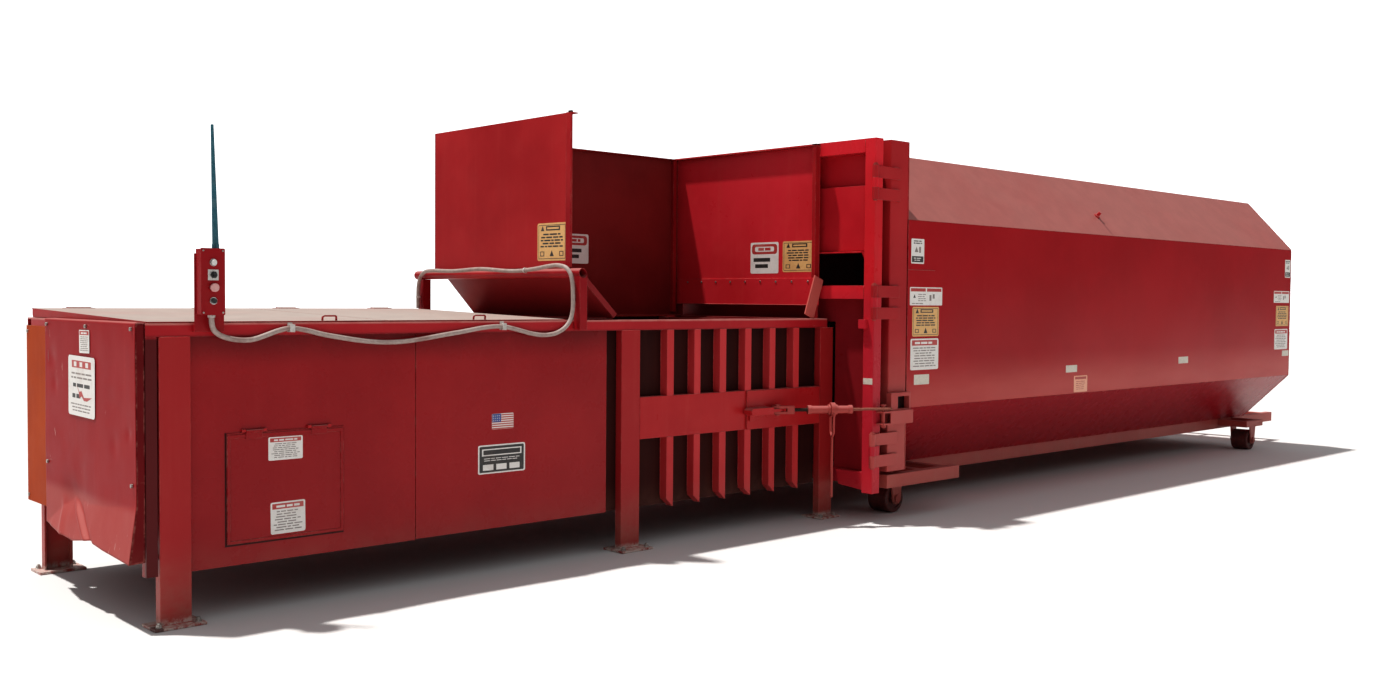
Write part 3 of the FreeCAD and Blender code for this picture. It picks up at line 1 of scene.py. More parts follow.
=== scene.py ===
import bpy, bmesh, json, math, random
from mathutils import Vector, Matrix, noise
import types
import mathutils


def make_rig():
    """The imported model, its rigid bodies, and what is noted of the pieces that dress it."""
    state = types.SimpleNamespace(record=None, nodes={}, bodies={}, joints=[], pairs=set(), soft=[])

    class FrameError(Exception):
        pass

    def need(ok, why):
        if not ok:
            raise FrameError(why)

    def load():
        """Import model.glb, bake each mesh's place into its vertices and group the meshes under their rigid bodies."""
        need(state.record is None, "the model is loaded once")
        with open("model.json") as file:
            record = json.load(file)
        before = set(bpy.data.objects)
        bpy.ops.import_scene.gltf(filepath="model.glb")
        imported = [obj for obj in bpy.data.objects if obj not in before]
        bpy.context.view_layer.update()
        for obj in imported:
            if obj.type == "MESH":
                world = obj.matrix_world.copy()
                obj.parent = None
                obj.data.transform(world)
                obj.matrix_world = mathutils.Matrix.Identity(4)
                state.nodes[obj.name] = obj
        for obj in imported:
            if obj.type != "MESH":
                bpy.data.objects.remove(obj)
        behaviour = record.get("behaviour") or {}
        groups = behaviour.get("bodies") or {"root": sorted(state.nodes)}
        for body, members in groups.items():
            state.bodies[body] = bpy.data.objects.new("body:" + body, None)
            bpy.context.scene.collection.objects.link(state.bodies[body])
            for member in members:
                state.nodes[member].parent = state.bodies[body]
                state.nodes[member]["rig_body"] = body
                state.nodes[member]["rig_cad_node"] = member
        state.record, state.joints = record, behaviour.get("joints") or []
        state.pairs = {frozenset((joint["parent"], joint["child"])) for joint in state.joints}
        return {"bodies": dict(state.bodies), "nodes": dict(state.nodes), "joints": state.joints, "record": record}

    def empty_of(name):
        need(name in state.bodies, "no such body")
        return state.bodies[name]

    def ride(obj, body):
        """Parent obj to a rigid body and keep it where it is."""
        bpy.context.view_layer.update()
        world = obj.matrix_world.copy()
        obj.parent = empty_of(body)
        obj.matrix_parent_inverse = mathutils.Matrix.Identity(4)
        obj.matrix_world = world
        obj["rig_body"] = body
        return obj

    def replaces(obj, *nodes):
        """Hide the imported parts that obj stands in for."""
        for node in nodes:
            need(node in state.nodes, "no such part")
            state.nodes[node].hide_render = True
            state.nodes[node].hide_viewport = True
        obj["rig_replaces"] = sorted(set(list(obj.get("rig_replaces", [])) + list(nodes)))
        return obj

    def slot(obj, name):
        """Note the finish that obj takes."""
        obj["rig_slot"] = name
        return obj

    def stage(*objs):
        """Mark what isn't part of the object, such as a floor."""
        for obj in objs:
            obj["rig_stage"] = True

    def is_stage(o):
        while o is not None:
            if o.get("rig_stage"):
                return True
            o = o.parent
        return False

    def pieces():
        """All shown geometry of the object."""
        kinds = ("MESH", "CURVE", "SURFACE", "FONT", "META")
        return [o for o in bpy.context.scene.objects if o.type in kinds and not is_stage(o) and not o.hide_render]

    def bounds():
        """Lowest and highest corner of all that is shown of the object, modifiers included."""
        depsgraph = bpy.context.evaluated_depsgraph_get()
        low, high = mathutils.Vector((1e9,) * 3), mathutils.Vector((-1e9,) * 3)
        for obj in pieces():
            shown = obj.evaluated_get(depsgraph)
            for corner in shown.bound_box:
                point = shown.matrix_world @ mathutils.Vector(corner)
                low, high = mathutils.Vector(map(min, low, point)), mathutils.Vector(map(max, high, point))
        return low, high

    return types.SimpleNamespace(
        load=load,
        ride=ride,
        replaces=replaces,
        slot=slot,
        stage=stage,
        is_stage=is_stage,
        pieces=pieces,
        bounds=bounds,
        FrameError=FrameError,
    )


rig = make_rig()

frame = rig.load()
CAD_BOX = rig.bounds()
NODES = frame["nodes"]
random.seed(11)
SX = -5.960


def D(x, y, z):
    """Working millimetres to the row frame in metres."""
    return Vector((x / 1000.0 + SX, y / 1000.0, z / 1000.0))


# ---------------------------------------------------------------- camera
cam_data = bpy.data.cameras.new("camera")
cam_data.sensor_width = 36.0
cam_data.lens = 1281.0 / 1400.0 * 36.0
cam_data.shift_y = 3.1 / 1400.0
cam_data.clip_end = 200.0
cam = bpy.data.objects.new("camera", cam_data)
bpy.context.scene.collection.objects.link(cam)
yaw, pitch, roll = math.radians(46.23), math.radians(1.99), math.radians(0.47)
fw = Vector((math.cos(yaw) * math.cos(pitch), math.sin(yaw) * math.cos(pitch), -math.sin(pitch)))
rt = fw.cross(Vector((0, 0, 1))).normalized()
up = rt.cross(fw)
rt, up = (math.cos(roll) * rt + math.sin(roll) * up), (-math.sin(roll) * rt + math.cos(roll) * up)
R = Matrix((rt, up, -fw)).transposed().to_4x4()
cam.matrix_world = Matrix.Translation(Vector((-8.0659, -6.4975, 1.4756))) @ R
bpy.context.scene.camera = cam
bpy.context.scene.view_settings.view_transform = "Standard"
bpy.context.scene.view_settings.look = "Medium High Contrast"


# ---------------------------------------------------------------- node helpers
class G:
    def __init__(self, name):
        self.m = bpy.data.materials.new(name)
        self.m.use_nodes = True
        self.t = self.m.node_tree
        self.t.nodes.clear()
        out = self.add("ShaderNodeOutputMaterial")
        self.b = self.add("ShaderNodeBsdfPrincipled")
        self.t.links.new(self.b.outputs[0], out.inputs[0])
        tc = self.add("ShaderNodeTexCoord")
        self.co = tc.outputs["Object"]
        self.nrm = tc.outputs["Normal"]
        s = self.add("ShaderNodeSeparateXYZ")
        self.t.links.new(self.co, s.inputs[0])
        self.x, self.y, self.z = s.outputs
        s = self.add("ShaderNodeSeparateXYZ")
        self.t.links.new(self.nrm, s.inputs[0])
        self.nx, self.ny, self.nz = s.outputs

    def add(self, kind):
        return self.t.nodes.new(kind)

    def put(self, sock, v):
        if hasattr(v, "is_output"):
            self.t.links.new(v, sock)
        else:
            sock.default_value = v

    def noise(self, scale, detail=4.0, rough=0.6, stretch=(1, 1, 1), off=(0, 0, 0), dist=0.0):
        mp = self.add("ShaderNodeMapping")
        self.t.links.new(self.co, mp.inputs["Vector"])
        mp.inputs["Scale"].default_value = stretch
        mp.inputs["Location"].default_value = off
        n = self.add("ShaderNodeTexNoise")
        self.t.links.new(mp.outputs[0], n.inputs["Vector"])
        n.inputs["Scale"].default_value = scale
        n.inputs["Detail"].default_value = detail
        n.inputs["Roughness"].default_value = rough
        n.inputs["Distortion"].default_value = dist
        return n.outputs[0]

    def mr(self, v, a, b, c=0.0, d=1.0, kind="SMOOTHSTEP"):
        n = self.add("ShaderNodeMapRange")
        n.interpolation_type = kind
        self.put(n.inputs[0], v)
        for i, k in enumerate((a, b, c, d)):
            n.inputs[i + 1].default_value = k
        return n.outputs[0]

    def math(self, op, a, b=0.0):
        n = self.add("ShaderNodeMath")
        n.operation = op
        n.use_clamp = op in ("ADD", "MULTIPLY")
        self.put(n.inputs[0], a)
        self.put(n.inputs[1], b)
        return n.outputs[0]

    def mul(self, *v):
        o = v[0]
        for k in v[1:]:
            o = self.math("MULTIPLY", o, k)
        return o

    def mix(self, f, a, b, mode="MIX"):
        n = self.add("ShaderNodeMix")
        n.data_type = "RGBA"
        n.blend_type = mode
        self.put(n.inputs[0], f)
        self.put(n.inputs[6], a if hasattr(a, "is_output") else (*a, 1.0))
        self.put(n.inputs[7], b if hasattr(b, "is_output") else (*b, 1.0))
        return n.outputs[2]

    def band(self, v, a, b, soft):
        return self.mul(self.mr(v, a - soft, a + soft), self.mr(v, b - soft, b + soft, 1.0, 0.0))

    def bevel(self, r):
        n = self.add("ShaderNodeBevel")
        n.samples = 4
        n.inputs["Radius"].default_value = r
        return n.outputs[0]

    def edge(self, bev):
        g = self.add("ShaderNodeNewGeometry")
        d = self.add("ShaderNodeVectorMath")
        d.operation = "DOT_PRODUCT"
        self.t.links.new(bev, d.inputs[0])
        self.t.links.new(g.outputs["Normal"], d.inputs[1])
        return self.mr(d.outputs["Value"], 0.995, 0.93, 0.0, 1.0)

    def bump(self, h, dist, strength=1.0, normal=None):
        n = self.add("ShaderNodeBump")
        n.inputs["Strength"].default_value = strength
        n.inputs["Distance"].default_value = dist
        self.t.links.new(h, n.inputs["Height"])
        if normal is not None:
            self.t.links.new(normal, n.inputs["Normal"])
        return n.outputs[0]

    def done(self, col, rough, normal=None, metal=0.0, coat=0.0, coat_rough=0.12, spec=None):
        self.put(self.b.inputs["Base Color"], col if hasattr(col, "is_output") else (*col, 1.0))
        self.put(self.b.inputs["Roughness"], rough)
        self.put(self.b.inputs["Metallic"], metal)
        self.b.inputs["Coat Weight"].default_value = coat
        self.b.inputs["Coat Roughness"].default_value = coat_rough
        if spec is not None:
            self.b.inputs["Specular IOR Level"].default_value = spec
        if normal is not None:
            self.t.links.new(normal, self.b.inputs["Normal"])
        return self.m


def paint(name, base, deep, worn, fade=(0.40, 0.15, 0.14), fade_and_sheen_amt=0.8, dust=0.35, gloss=0.34,
          wave=0.0035, off=0.0, edge=0.7, extra=None, bevel=0.004, chips=0.35, mottle=1.0, spec=0.15, coat=0.05):
    """Weathered gloss enamel on steel plate."""
    g = G(name)
    o = (off, off * 1.7, off * 0.6)
    big = g.noise(0.9, 5, 0.62, off=o)
    mid = g.noise(6.5, 6, 0.65, off=o)
    fine = g.noise(70.0, 4, 0.7, off=o)
    col = g.mix(g.mr(big, 0.35, 0.68), base, deep)
    col = g.mix(g.mul(g.mr(mid, 0.48, 0.75), 0.10 * mottle), col, worn)
    # rain streaks on upright faces
    upright = g.mr(g.math("ABSOLUTE", g.nz), 0.25, 0.6, 1.0, 0.0)
    streak = g.noise(5.0, 5, 0.6, stretch=(4.0, 4.0, 0.22), off=o)
    streak2 = g.noise(22.0, 3, 0.6, stretch=(3.0, 3.0, 0.1), off=o)
    col = g.mix(g.mul(g.mr(streak, 0.5, 0.78), upright, 0.16 * mottle), col, worn)
    col = g.mix(g.mul(g.mr(streak2, 0.58, 0.8), upright, 0.12 * mottle), col, deep)
    # upper faces lighter, chalky and mottled: partly sun-faded paint, partly a painted highlight and sky reflection on
    # faces that look up
    top = g.mul(g.mr(g.nz, 0.25, 0.65), fade_and_sheen_amt)
    mott = g.mix(g.mr(mid, 0.35, 0.68), fade, tuple(min(1.0, k * 1.10) for k in fade))
    col = g.mix(g.mul(top, g.mr(big, 0.2, 0.6, 0.82, 1.0)), col, mott)
    # splash dust low down
    low = g.mul(g.mr(g.z, 0.04, 0.42, 1.0, 0.0), g.mr(mid, 0.3, 0.7, 0.35, 1.0), dust)
    col = g.mix(low, col, (0.33, 0.17, 0.13))
    # fine scratches
    scr = g.noise(9.0, 3, 0.5, stretch=(0.5, 0.5, 9.0), off=(off + 3, 2, 1), dist=0.6)
    scm = g.mul(g.mr(scr, 0.70, 0.76), g.mr(mid, 0.5, 0.7), 0.25 * mottle)
    col = g.mix(scm, col, (0.5, 0.2, 0.17))
    # chips down to primer and rust
    ch = g.noise(34.0, 5, 0.75, off=(off + 9, 4, 2))
    chm = g.mul(g.mr(ch, 0.735, 0.76), chips)
    rust = g.mix(g.mr(fine, 0.4, 0.6), (0.10, 0.032, 0.02), (0.22, 0.09, 0.05))
    col = g.mix(chm, col, rust)
    bev = g.bevel(bevel) if bevel else None
    if bevel:
        em = g.mul(g.edge(bev), g.mr(g.noise(18.0, 6, 0.7, off=o), 0.42, 0.62), edge)
        col = g.mix(em, col, g.mix(g.mr(fine, 0.45, 0.65), (0.52, 0.20, 0.17), (0.20, 0.06, 0.04)))
    else:
        em = g.mul(chm, 0.5)
    rough = g.mr(mid, 0.3, 0.75, gloss - 0.04 * mottle, gloss + 0.09 * mottle, "LINEAR")
    rough = g.math("ADD", rough, g.mul(top, 0.18))
    rough = g.math("ADD", rough, g.mul(em, 0.3))
    nrm = g.bump(g.noise(1.1, 1, 0.3, off=o), wave * 10, 0.30, bev if bevel else None)
    nrm = g.bump(g.noise(260.0, 2, 0.5), 0.0004, 0.25, nrm)
    nrm = g.bump(g.math("ADD", chm, em), -0.0008, 0.6, nrm)
    if extra:
        col, rough = extra(g, col, rough)
    return g.done(col, rough, nrm, coat=coat, coat_rough=0.18, spec=spec)


RED, DEEP, WORN = (0.40, 0.014, 0.019), (0.27, 0.008, 0.014), (0.46, 0.055, 0.048)


def side_film_and_horizon_reflection(g, col, rough):
    # lighter lower part of the tall side, partly road film, partly a painted reflection of the horizon; deeper colour
    # above it
    m = g.mul(g.mr(g.z, 1.12, 0.80), g.mr(g.ny, -0.9, -0.5, 1.0, 0.0), g.mr(g.noise(2.2, 5, 0.6, stretch=(0.25, 1, 1)), 0.2, 0.7, 0.5, 1.0))
    col = g.mix(g.mul(m, 0.85), col, (0.56, 0.105, 0.092))
    return col, rough


def slopes(g, col, rough):
    # painted shade: the lower, downward-facing slope darker, without the upper fade
    low = g.mul(g.mr(g.z, 0.80, 0.72), 0.75)
    col = g.mix(low, col, (0.34, 0.014, 0.024))
    # lighter corner of the lower slope towards the nose: a painted reflection of the sunlit ground
    tri = g.mul(low, g.mr(g.math("ADD", g.x, g.math("MULTIPLY", g.z, 1.0)), 5.50, 5.62))
    col = g.mix(g.mul(tri, 0.8), col, (0.45, 0.12, 0.11))
    # stain under the plug
    px = g.band(g.x, 1.675, 1.705, 0.008)
    st = g.mul(px, g.band(g.z, 2.03, 2.18, 0.04), g.mr(g.ny, -0.3, -0.1, 1.0, 0.0), 0.5)
    col = g.mix(st, col, (0.18, 0.05, 0.05))
    return col, rough


def caps(g, col, rough):
    m = g.mr(g.z, 2.5219, 2.5222, 0.0, 1.0, "LINEAR")
    col = g.mix(m, col, g.mix(g.noise(40, 4), (0.012, 0.012, 0.013), (0.035, 0.034, 0.033)))
    return col, rough


def rear_recess_shade(g, col):
    """Painted shade in the recess between the rear cover and the first leg."""
    m = g.mul(g.band(g.x, -5.962, -5.905, 0.001), g.mr(g.z, 1.287, 1.275), g.mr(g.y, -0.80, -0.79, 1.0, 0.0), 0.8)
    return g.mix(m, col, (0.07, 0.008, 0.009))


def rim_fade_highlight_and_shade(g, col, rough):
    """Lighter upper edge of the rim angle, partly chalky paint, partly a painted highlight; a darker lower edge; and
    the painted shade of the rear recess.
    """
    m = g.mul(g.mr(g.z, 1.338, 1.346), g.mr(g.noise(7, 5, 0.6), 0.25, 0.6, 0.45, 1.0))
    col = g.mix(g.mul(m, 0.75), col, (0.62, 0.27, 0.24))
    lo = g.mul(g.mr(g.z, 1.303, 1.291), 0.5)
    return rear_recess_shade(g, g.mix(lo, col, (0.16, 0.01, 0.014))), rough


def hatch_shadow(g, col, rough):
    """Painted shadow in the gap round the hatch, and a painted shadow strip under the rim."""
    x0, x1 = 0.370 - 5.960, 0.955 - 5.960
    near = g.mr(g.ny, -0.9, -0.5, 1.0, 0.0)
    left = g.mul(g.band(g.x, x0 - 0.007, x0 + 0.001, 0.0012), g.band(g.z, 0.321, 0.846, 0.002))
    low = g.mul(g.band(g.z, 0.320, 0.329, 0.0012), g.band(g.x, x0 - 0.007, x1 + 0.003, 0.002))
    col = g.mix(g.mul(g.math("ADD", left, low), near, 0.92), col, (0.022, 0.006, 0.006))
    # painted shade: darker strip on the near panels under the rim
    top = g.mul(g.mr(g.z, 1.12, 1.285), near, g.mr(g.noise(1.3, 4), 0.3, 0.6, 0.4, 0.9))
    return g.mix(g.mul(top, 0.75), col, (0.11, 0.008, 0.010)), rough


def low_sheets(g, col, rough):
    """Lower door sheets, darker behind the compactor's snout."""
    m = g.mul(g.mr(g.z, 1.50, 1.48), g.mr(g.noise(1.6, 4), 0.2, 0.6, 0.8, 1.0))
    return g.mix(m, col, g.mix(g.noise(3.0, 4), (0.20, 0.012, 0.018), (0.27, 0.017, 0.024))), rough


def low_film_and_hole_shade(g, col, rough):
    m = g.mul(g.mr(g.z, 1.30, 0.75), g.mr(g.noise(2.4, 5), 0.2, 0.7, 0.4, 1.0), 0.75)
    col = g.mix(m, col, (0.50, 0.125, 0.11))
    # painted shade: the post face behind the pocket hole painted near-black
    pocket_hole_shade = g.mul(g.band(g.x, -1.220, -1.098, 0.001), g.band(g.z, 0.755, 0.838, 0.001), g.mr(g.ny, -0.9, -0.7, 1.0, 0.0))
    return g.mix(pocket_hole_shade, col, (0.012, 0.004, 0.004)), rough


def door_low(g, col, rough):
    """Door stiles, duller below the shelf."""
    m = g.mul(g.mr(g.z, 1.62, 1.42), g.mr(g.noise(1.8, 4), 0.2, 0.6, 0.6, 0.95))
    return g.mix(m, col, (0.48, 0.026, 0.044)), rough


def brace_highlight(g, col, rough):
    """The two side brace bars, lighter than the hopper's base: a painted highlight."""
    front = g.mul(g.band(g.x, -1.640, -1.440, 0.001), g.mr(g.y, -0.786, -0.784, 1.0, 0.0))
    return g.mix(g.mul(front, g.mr(g.noise(5, 4), 0.2, 0.6, 0.75, 1.0)), col, (0.56, 0.135, 0.115)), rough


def dusty_feet_and_recess_shade(g, col, rough):
    m = g.mul(g.mr(g.z, 0.05, 0.012), g.mr(g.noise(30, 6, 0.7), 0.35, 0.6))
    col = g.mix(m, col, (0.62, 0.52, 0.47))
    return rear_recess_shade(g, col), rough


def faded_foot(g, col, rough):
    m = g.mul(g.mr(g.z, 0.56, 0.50), g.mr(g.noise(3, 5), 0.2, 0.6, 0.7, 1.0))
    col = g.mix(g.mul(m, 0.55), col, (0.47, 0.13, 0.115))
    sc = g.mul(g.mr(g.noise(11, 4, 0.6, stretch=(1, 3.0, 0.6), off=(4, 1, 7)), 0.66, 0.70), g.mr(g.noise(2.2, 2), 0.45, 0.6))
    col = g.mix(g.mul(sc, 0.7), col, (0.60, 0.42, 0.38))
    return col, rough


def grease(g, col, rough):
    """Bare greasy screw and rusty hook, by place along the binder."""
    d = g.add("ShaderNodeVectorMath")
    d.operation = "DOT_PRODUCT"
    ab = g.add("ShaderNodeVectorMath")
    ab.operation = "ABSOLUTE"
    a = math.atan2(392, 600)
    sub = g.add("ShaderNodeVectorMath")
    sub.operation = "SUBTRACT"
    g.t.links.new(g.co, sub.inputs[0])
    sub.inputs[1].default_value = (-1.975, 0, 0)
    g.t.links.new(sub.outputs[0], ab.inputs[0])
    g.t.links.new(ab.outputs[0], d.inputs[0])
    d.inputs[1].default_value = (math.cos(a), math.sin(a), 0)
    u = g.math("SUBTRACT", d.outputs["Value"], 0.870 * math.sin(a))
    fine = g.noise(90, 5, 0.7)
    screw = g.band(u, 0.110, 0.200, 0.001)
    col = g.mix(screw, col, g.mix(fine, (0.018, 0.013, 0.012), (0.07, 0.045, 0.035)))
    hook = g.mr(u, 0.498, 0.504)
    col = g.mix(g.mul(hook, 0.85), col, g.mix(g.mr(fine, 0.35, 0.65), (0.16, 0.055, 0.035), (0.30, 0.12, 0.085)))
    return col, rough


M_BODY = paint("paint_body", (0.50, 0.026, 0.030), (0.40, 0.016, 0.020), (0.52, 0.08, 0.07), off=0.0, gloss=0.30)
M_RIM = paint("paint_rim", (0.46, 0.022, 0.030), (0.36, 0.014, 0.020), WORN, off=0.7, gloss=0.32, extra=rim_fade_highlight_and_shade, edge=0.9)
M_SIDE = paint("paint_panels", (0.37, 0.018, 0.022), (0.31, 0.013, 0.017), WORN, off=3.1, gloss=0.27, wave=0.004, extra=hatch_shadow, mottle=0.5)
M_LEGS = paint("paint_legs", (0.395, 0.027, 0.028), (0.40, 0.022, 0.026), (0.55, 0.10, 0.085), off=5.3, dust=0.5, extra=dusty_feet_and_recess_shade, mottle=0.7)
M_HOP = paint("paint_hopper", (0.43, 0.022, 0.026), (0.34, 0.014, 0.018), WORN, off=7.7, gloss=0.33)
# hopper front wall: a lit copy of the hopper paint, its brighter base colour standing in for sunlight on the wall
M_HOPF = paint("paint_hopper_front_lit", (0.66, 0.034, 0.050), (0.56, 0.024, 0.034), (0.66, 0.09, 0.08), off=7.1, gloss=0.30)
# hopper far wall: a shaded copy of the hopper paint, darker for painted shade
M_HOPFAR_SHADED = paint("paint_hopper_far_shaded", (0.25, 0.022, 0.022), (0.18, 0.014, 0.015), (0.30, 0.04, 0.035), off=7.3, gloss=0.36)
# painted shade: the hopper base and apron paint darkened for the shade under the hopper
M_BASE_SHADED = paint("paint_hopper_base_shaded", (0.27, 0.020, 0.024), (0.20, 0.012, 0.015), (0.32, 0.05, 0.045), off=7.5, gloss=0.36, extra=brace_highlight)
# painted shade: chamber walls near-black for the shade in the recesses between the ribs
M_CHAMB_SHADED = paint("paint_chamber_shaded", (0.045, 0.011, 0.010), (0.03, 0.008, 0.008), (0.10, 0.03, 0.02), off=16.4, gloss=0.55, chips=0.8, spec=0.06, coat=0.0)
M_TRIM = paint("paint_trim", (0.42, 0.02, 0.024), DEEP, WORN, off=8.8, extra=caps, edge=0.9)
M_RIB = paint("paint_ribs", (0.60, 0.050, 0.056), (0.52, 0.038, 0.042), (0.62, 0.12, 0.10), off=2.2, gloss=0.36, mottle=0.7)
M_COVER = paint("paint_cover", (0.33, 0.026, 0.030), (0.28, 0.020, 0.025), WORN, off=1.3, gloss=0.34, extra=faded_foot, chips=0.6, bevel=None, spec=0.03, coat=0.0)
# painted shade: the cover's side return painted dark for the shade beside the rear leg
M_RETURN_SHADED = paint("paint_cover_return_shaded", (0.17, 0.014, 0.017), (0.12, 0.010, 0.012), (0.26, 0.04, 0.04), off=1.9, gloss=0.4, spec=0.03, coat=0.0)
# lids: the near-white upper faces are partly sun-bleached paint, partly a painted highlight of the strongly lit tops
M_LID = paint("paint_lids", (0.42, 0.03, 0.032), DEEP, WORN, fade=(0.40, 0.345, 0.31), fade_and_sheen_amt=0.97, off=4.4, edge=1.0)
M_CSIDE = paint("paint_container_side", (0.40, 0.011, 0.017), (0.34, 0.009, 0.014), WORN, off=6.1, gloss=0.25, wave=0.004, extra=side_film_and_horizon_reflection, mottle=0.2, dust=0.05, spec=0.12, chips=0.15)
# container slopes: the pale upper-slope colour is partly faded paint, partly a painted reflection of the sky
M_CSLOPE = paint("paint_container_slopes", (0.36, 0.012, 0.018), (0.32, 0.010, 0.015), WORN, fade=(0.35, 0.125, 0.112), fade_and_sheen_amt=1.0, off=6.6, gloss=0.27, wave=0.001, extra=slopes, mottle=0.2, dust=0.05, chips=0.12, spec=0.10)
M_CFRAME = paint("paint_container_frame", (0.46, 0.026, 0.031), (0.36, 0.018, 0.023), WORN, off=9.4, gloss=0.32, extra=low_film_and_hole_shade)
M_RAILS = paint("paint_rails", (0.47, 0.095, 0.082), (0.39, 0.068, 0.060), (0.50, 0.27, 0.24), off=10.4, gloss=0.42, dust=0.4, edge=1.0)
# door frame and door sheets: lit copies of the red paint, their brighter base colour standing in for sunlight on the
# door
M_DOOR_LIT = paint("paint_door", (0.74, 0.030, 0.045), (0.62, 0.022, 0.032), WORN, off=12.0, gloss=0.28, extra=door_low)
M_SHEETS_LIT = paint("paint_door_sheets", (0.60, 0.024, 0.036), (0.48, 0.016, 0.026), WORN, off=12.6, gloss=0.30, extra=low_sheets)
M_BIND = paint("paint_binder", (0.46, 0.085, 0.075), (0.34, 0.050, 0.045), (0.52, 0.18, 0.15), off=13.0, gloss=0.45, edge=1.2, bevel=0.002, extra=grease, fade_and_sheen_amt=0.6)
M_HANDLE = paint("paint_ratchet", (0.42, 0.070, 0.062), (0.28, 0.040, 0.036), (0.50, 0.18, 0.14), off=14.0, gloss=0.5, edge=1.2, bevel=0.002, fade_and_sheen_amt=0.5)
M_CTRL = paint("paint_control", (0.34, 0.012, 0.017), (0.25, 0.008, 0.013), WORN, off=15.0, gloss=0.28, bevel=0.002)
M_INNER = paint("paint_inside", (0.20, 0.012, 0.014), (0.11, 0.008, 0.009), (0.26, 0.07, 0.055), off=16.0, gloss=0.5, chips=1.0)
M_ORANGE = paint("paint_orange", (0.47, 0.085, 0.026), (0.37, 0.058, 0.020), (0.54, 0.13, 0.05), fade=(0.62, 0.26, 0.12), off=17.0, gloss=0.5, chips=0.8, spec=0.03, coat=0.0)


def metal(name, c0, c1, rough=0.35, metallic=1.0, stain=(0.09, 0.045, 0.03), stain_amt=0.4, scale=60, bevel=0.0015, coat=0.0):
    g = G(name)
    n = g.noise(scale, 6, 0.7)
    m = g.noise(scale * 0.14, 5, 0.65)
    col = g.mix(g.mr(n, 0.3, 0.7), c0, c1)
    sm = g.mul(g.mr(m, 0.5, 0.68), stain_amt)
    col = g.mix(sm, col, stain)
    bev = g.bevel(bevel) if bevel else None
    if bevel:
        col = g.mix(g.mul(g.edge(bev), 0.5), col, tuple(min(1, k * 1.5 + 0.03) for k in c1))
    r = g.math("ADD", g.mr(n, 0.3, 0.7, rough - 0.08, rough + 0.12, "LINEAR"), g.mul(sm, 0.4))
    nr = g.bump(n, 0.0005, 0.3, bev)
    return g.done(col, r, nr, metal=g.math("SUBTRACT", metallic, g.mul(sm, 0.8 * metallic)) if metallic else 0.0, coat=coat)


M_ZINC = metal("zinc_fastener", (0.34, 0.31, 0.29), (0.55, 0.52, 0.49), 0.42)
M_WEAR = metal("worn_steel", (0.20, 0.17, 0.15), (0.36, 0.33, 0.30), 0.40, stain_amt=0.75)
M_CHROME = metal("chrome_rod", (0.68, 0.68, 0.69), (0.78, 0.78, 0.79), 0.13, stain_amt=0.06)
M_BRIGHT = metal("bright_ring", (0.55, 0.55, 0.56), (0.72, 0.72, 0.72), 0.24, stain_amt=0.12)
M_OILBLACK = metal("oily_black", (0.012, 0.012, 0.013), (0.035, 0.034, 0.033), 0.36, metallic=0.0, stain=(0.05, 0.03, 0.02), coat=0.2)
M_MOTOR = metal("motor_grey", (0.14, 0.16, 0.18), (0.22, 0.24, 0.26), 0.44, metallic=0.0, coat=0.1)
M_ROLLER = metal("roller_steel", (0.07, 0.012, 0.012), (0.15, 0.03, 0.025), 0.45, metallic=0.0, stain=(0.05, 0.03, 0.025), stain_amt=0.8)
M_CONDUIT = metal("conduit_jacket", (0.33, 0.25, 0.225), (0.44, 0.36, 0.33), 0.5, metallic=0.0, stain=(0.22, 0.10, 0.085), stain_amt=0.5, scale=40)
M_FITTING = metal("clip_plastic", (0.52, 0.49, 0.46), (0.66, 0.63, 0.60), 0.45, metallic=0.0, stain=(0.3, 0.25, 0.2))
M_MAST = metal("mast_teal", (0.012, 0.09, 0.13), (0.03, 0.14, 0.18), 0.38, metallic=0.0, stain=(0.10, 0.18, 0.2), stain_amt=0.5, coat=0.2)
M_BLACK = metal("black_plastic", (0.012, 0.012, 0.013), (0.03, 0.03, 0.031), 0.3, metallic=0.0, stain=(0.06, 0.055, 0.05), coat=0.2)
M_STOP = metal("stop_pink", (0.62, 0.30, 0.29), (0.70, 0.40, 0.38), 0.4, metallic=0.0, stain=(0.5, 0.12, 0.11), coat=0.1)
M_WHITEBTN = metal("white_button", (0.66, 0.64, 0.62), (0.76, 0.75, 0.73), 0.3, metallic=0.0, stain=(0.4, 0.36, 0.32), coat=0.2)
M_RUBBER = metal("seal_rubber", (0.010, 0.010, 0.010), (0.028, 0.027, 0.026), 0.7, metallic=0.0, stain=(0.09, 0.075, 0.065), bevel=0.004)
M_VINYL = metal("vinyl_white", (0.78, 0.75, 0.72), (0.84, 0.81, 0.78), 0.38, metallic=0.0, stain=(0.47, 0.37, 0.32), stain_amt=0.2, bevel=None)
M_VORANGE = metal("vinyl_orange", (0.72, 0.42, 0.16), (0.80, 0.50, 0.22), 0.4, metallic=0.0, stain=(0.56, 0.28, 0.10), stain_amt=0.35, bevel=None)
M_VPEACH = metal("vinyl_peach", (0.84, 0.41, 0.27), (0.88, 0.48, 0.34), 0.4, metallic=0.0, stain=(0.55, 0.22, 0.15), stain_amt=0.35, bevel=None)
M_INKBLK = metal("ink_black", (0.020, 0.020, 0.022), (0.05, 0.045, 0.043), 0.4, metallic=0.0, stain=(0.16, 0.12, 0.10), stain_amt=0.3, bevel=None)
M_INKRED = metal("ink_red", (0.42, 0.03, 0.035), (0.50, 0.07, 0.06), 0.4, metallic=0.0, stain=(0.58, 0.22, 0.2), stain_amt=0.4, bevel=None)
M_INKBLUE = metal("ink_blue", (0.03, 0.06, 0.25), (0.06, 0.10, 0.32), 0.4, metallic=0.0, stain=(0.2, 0.22, 0.4), stain_amt=0.3, bevel=None)
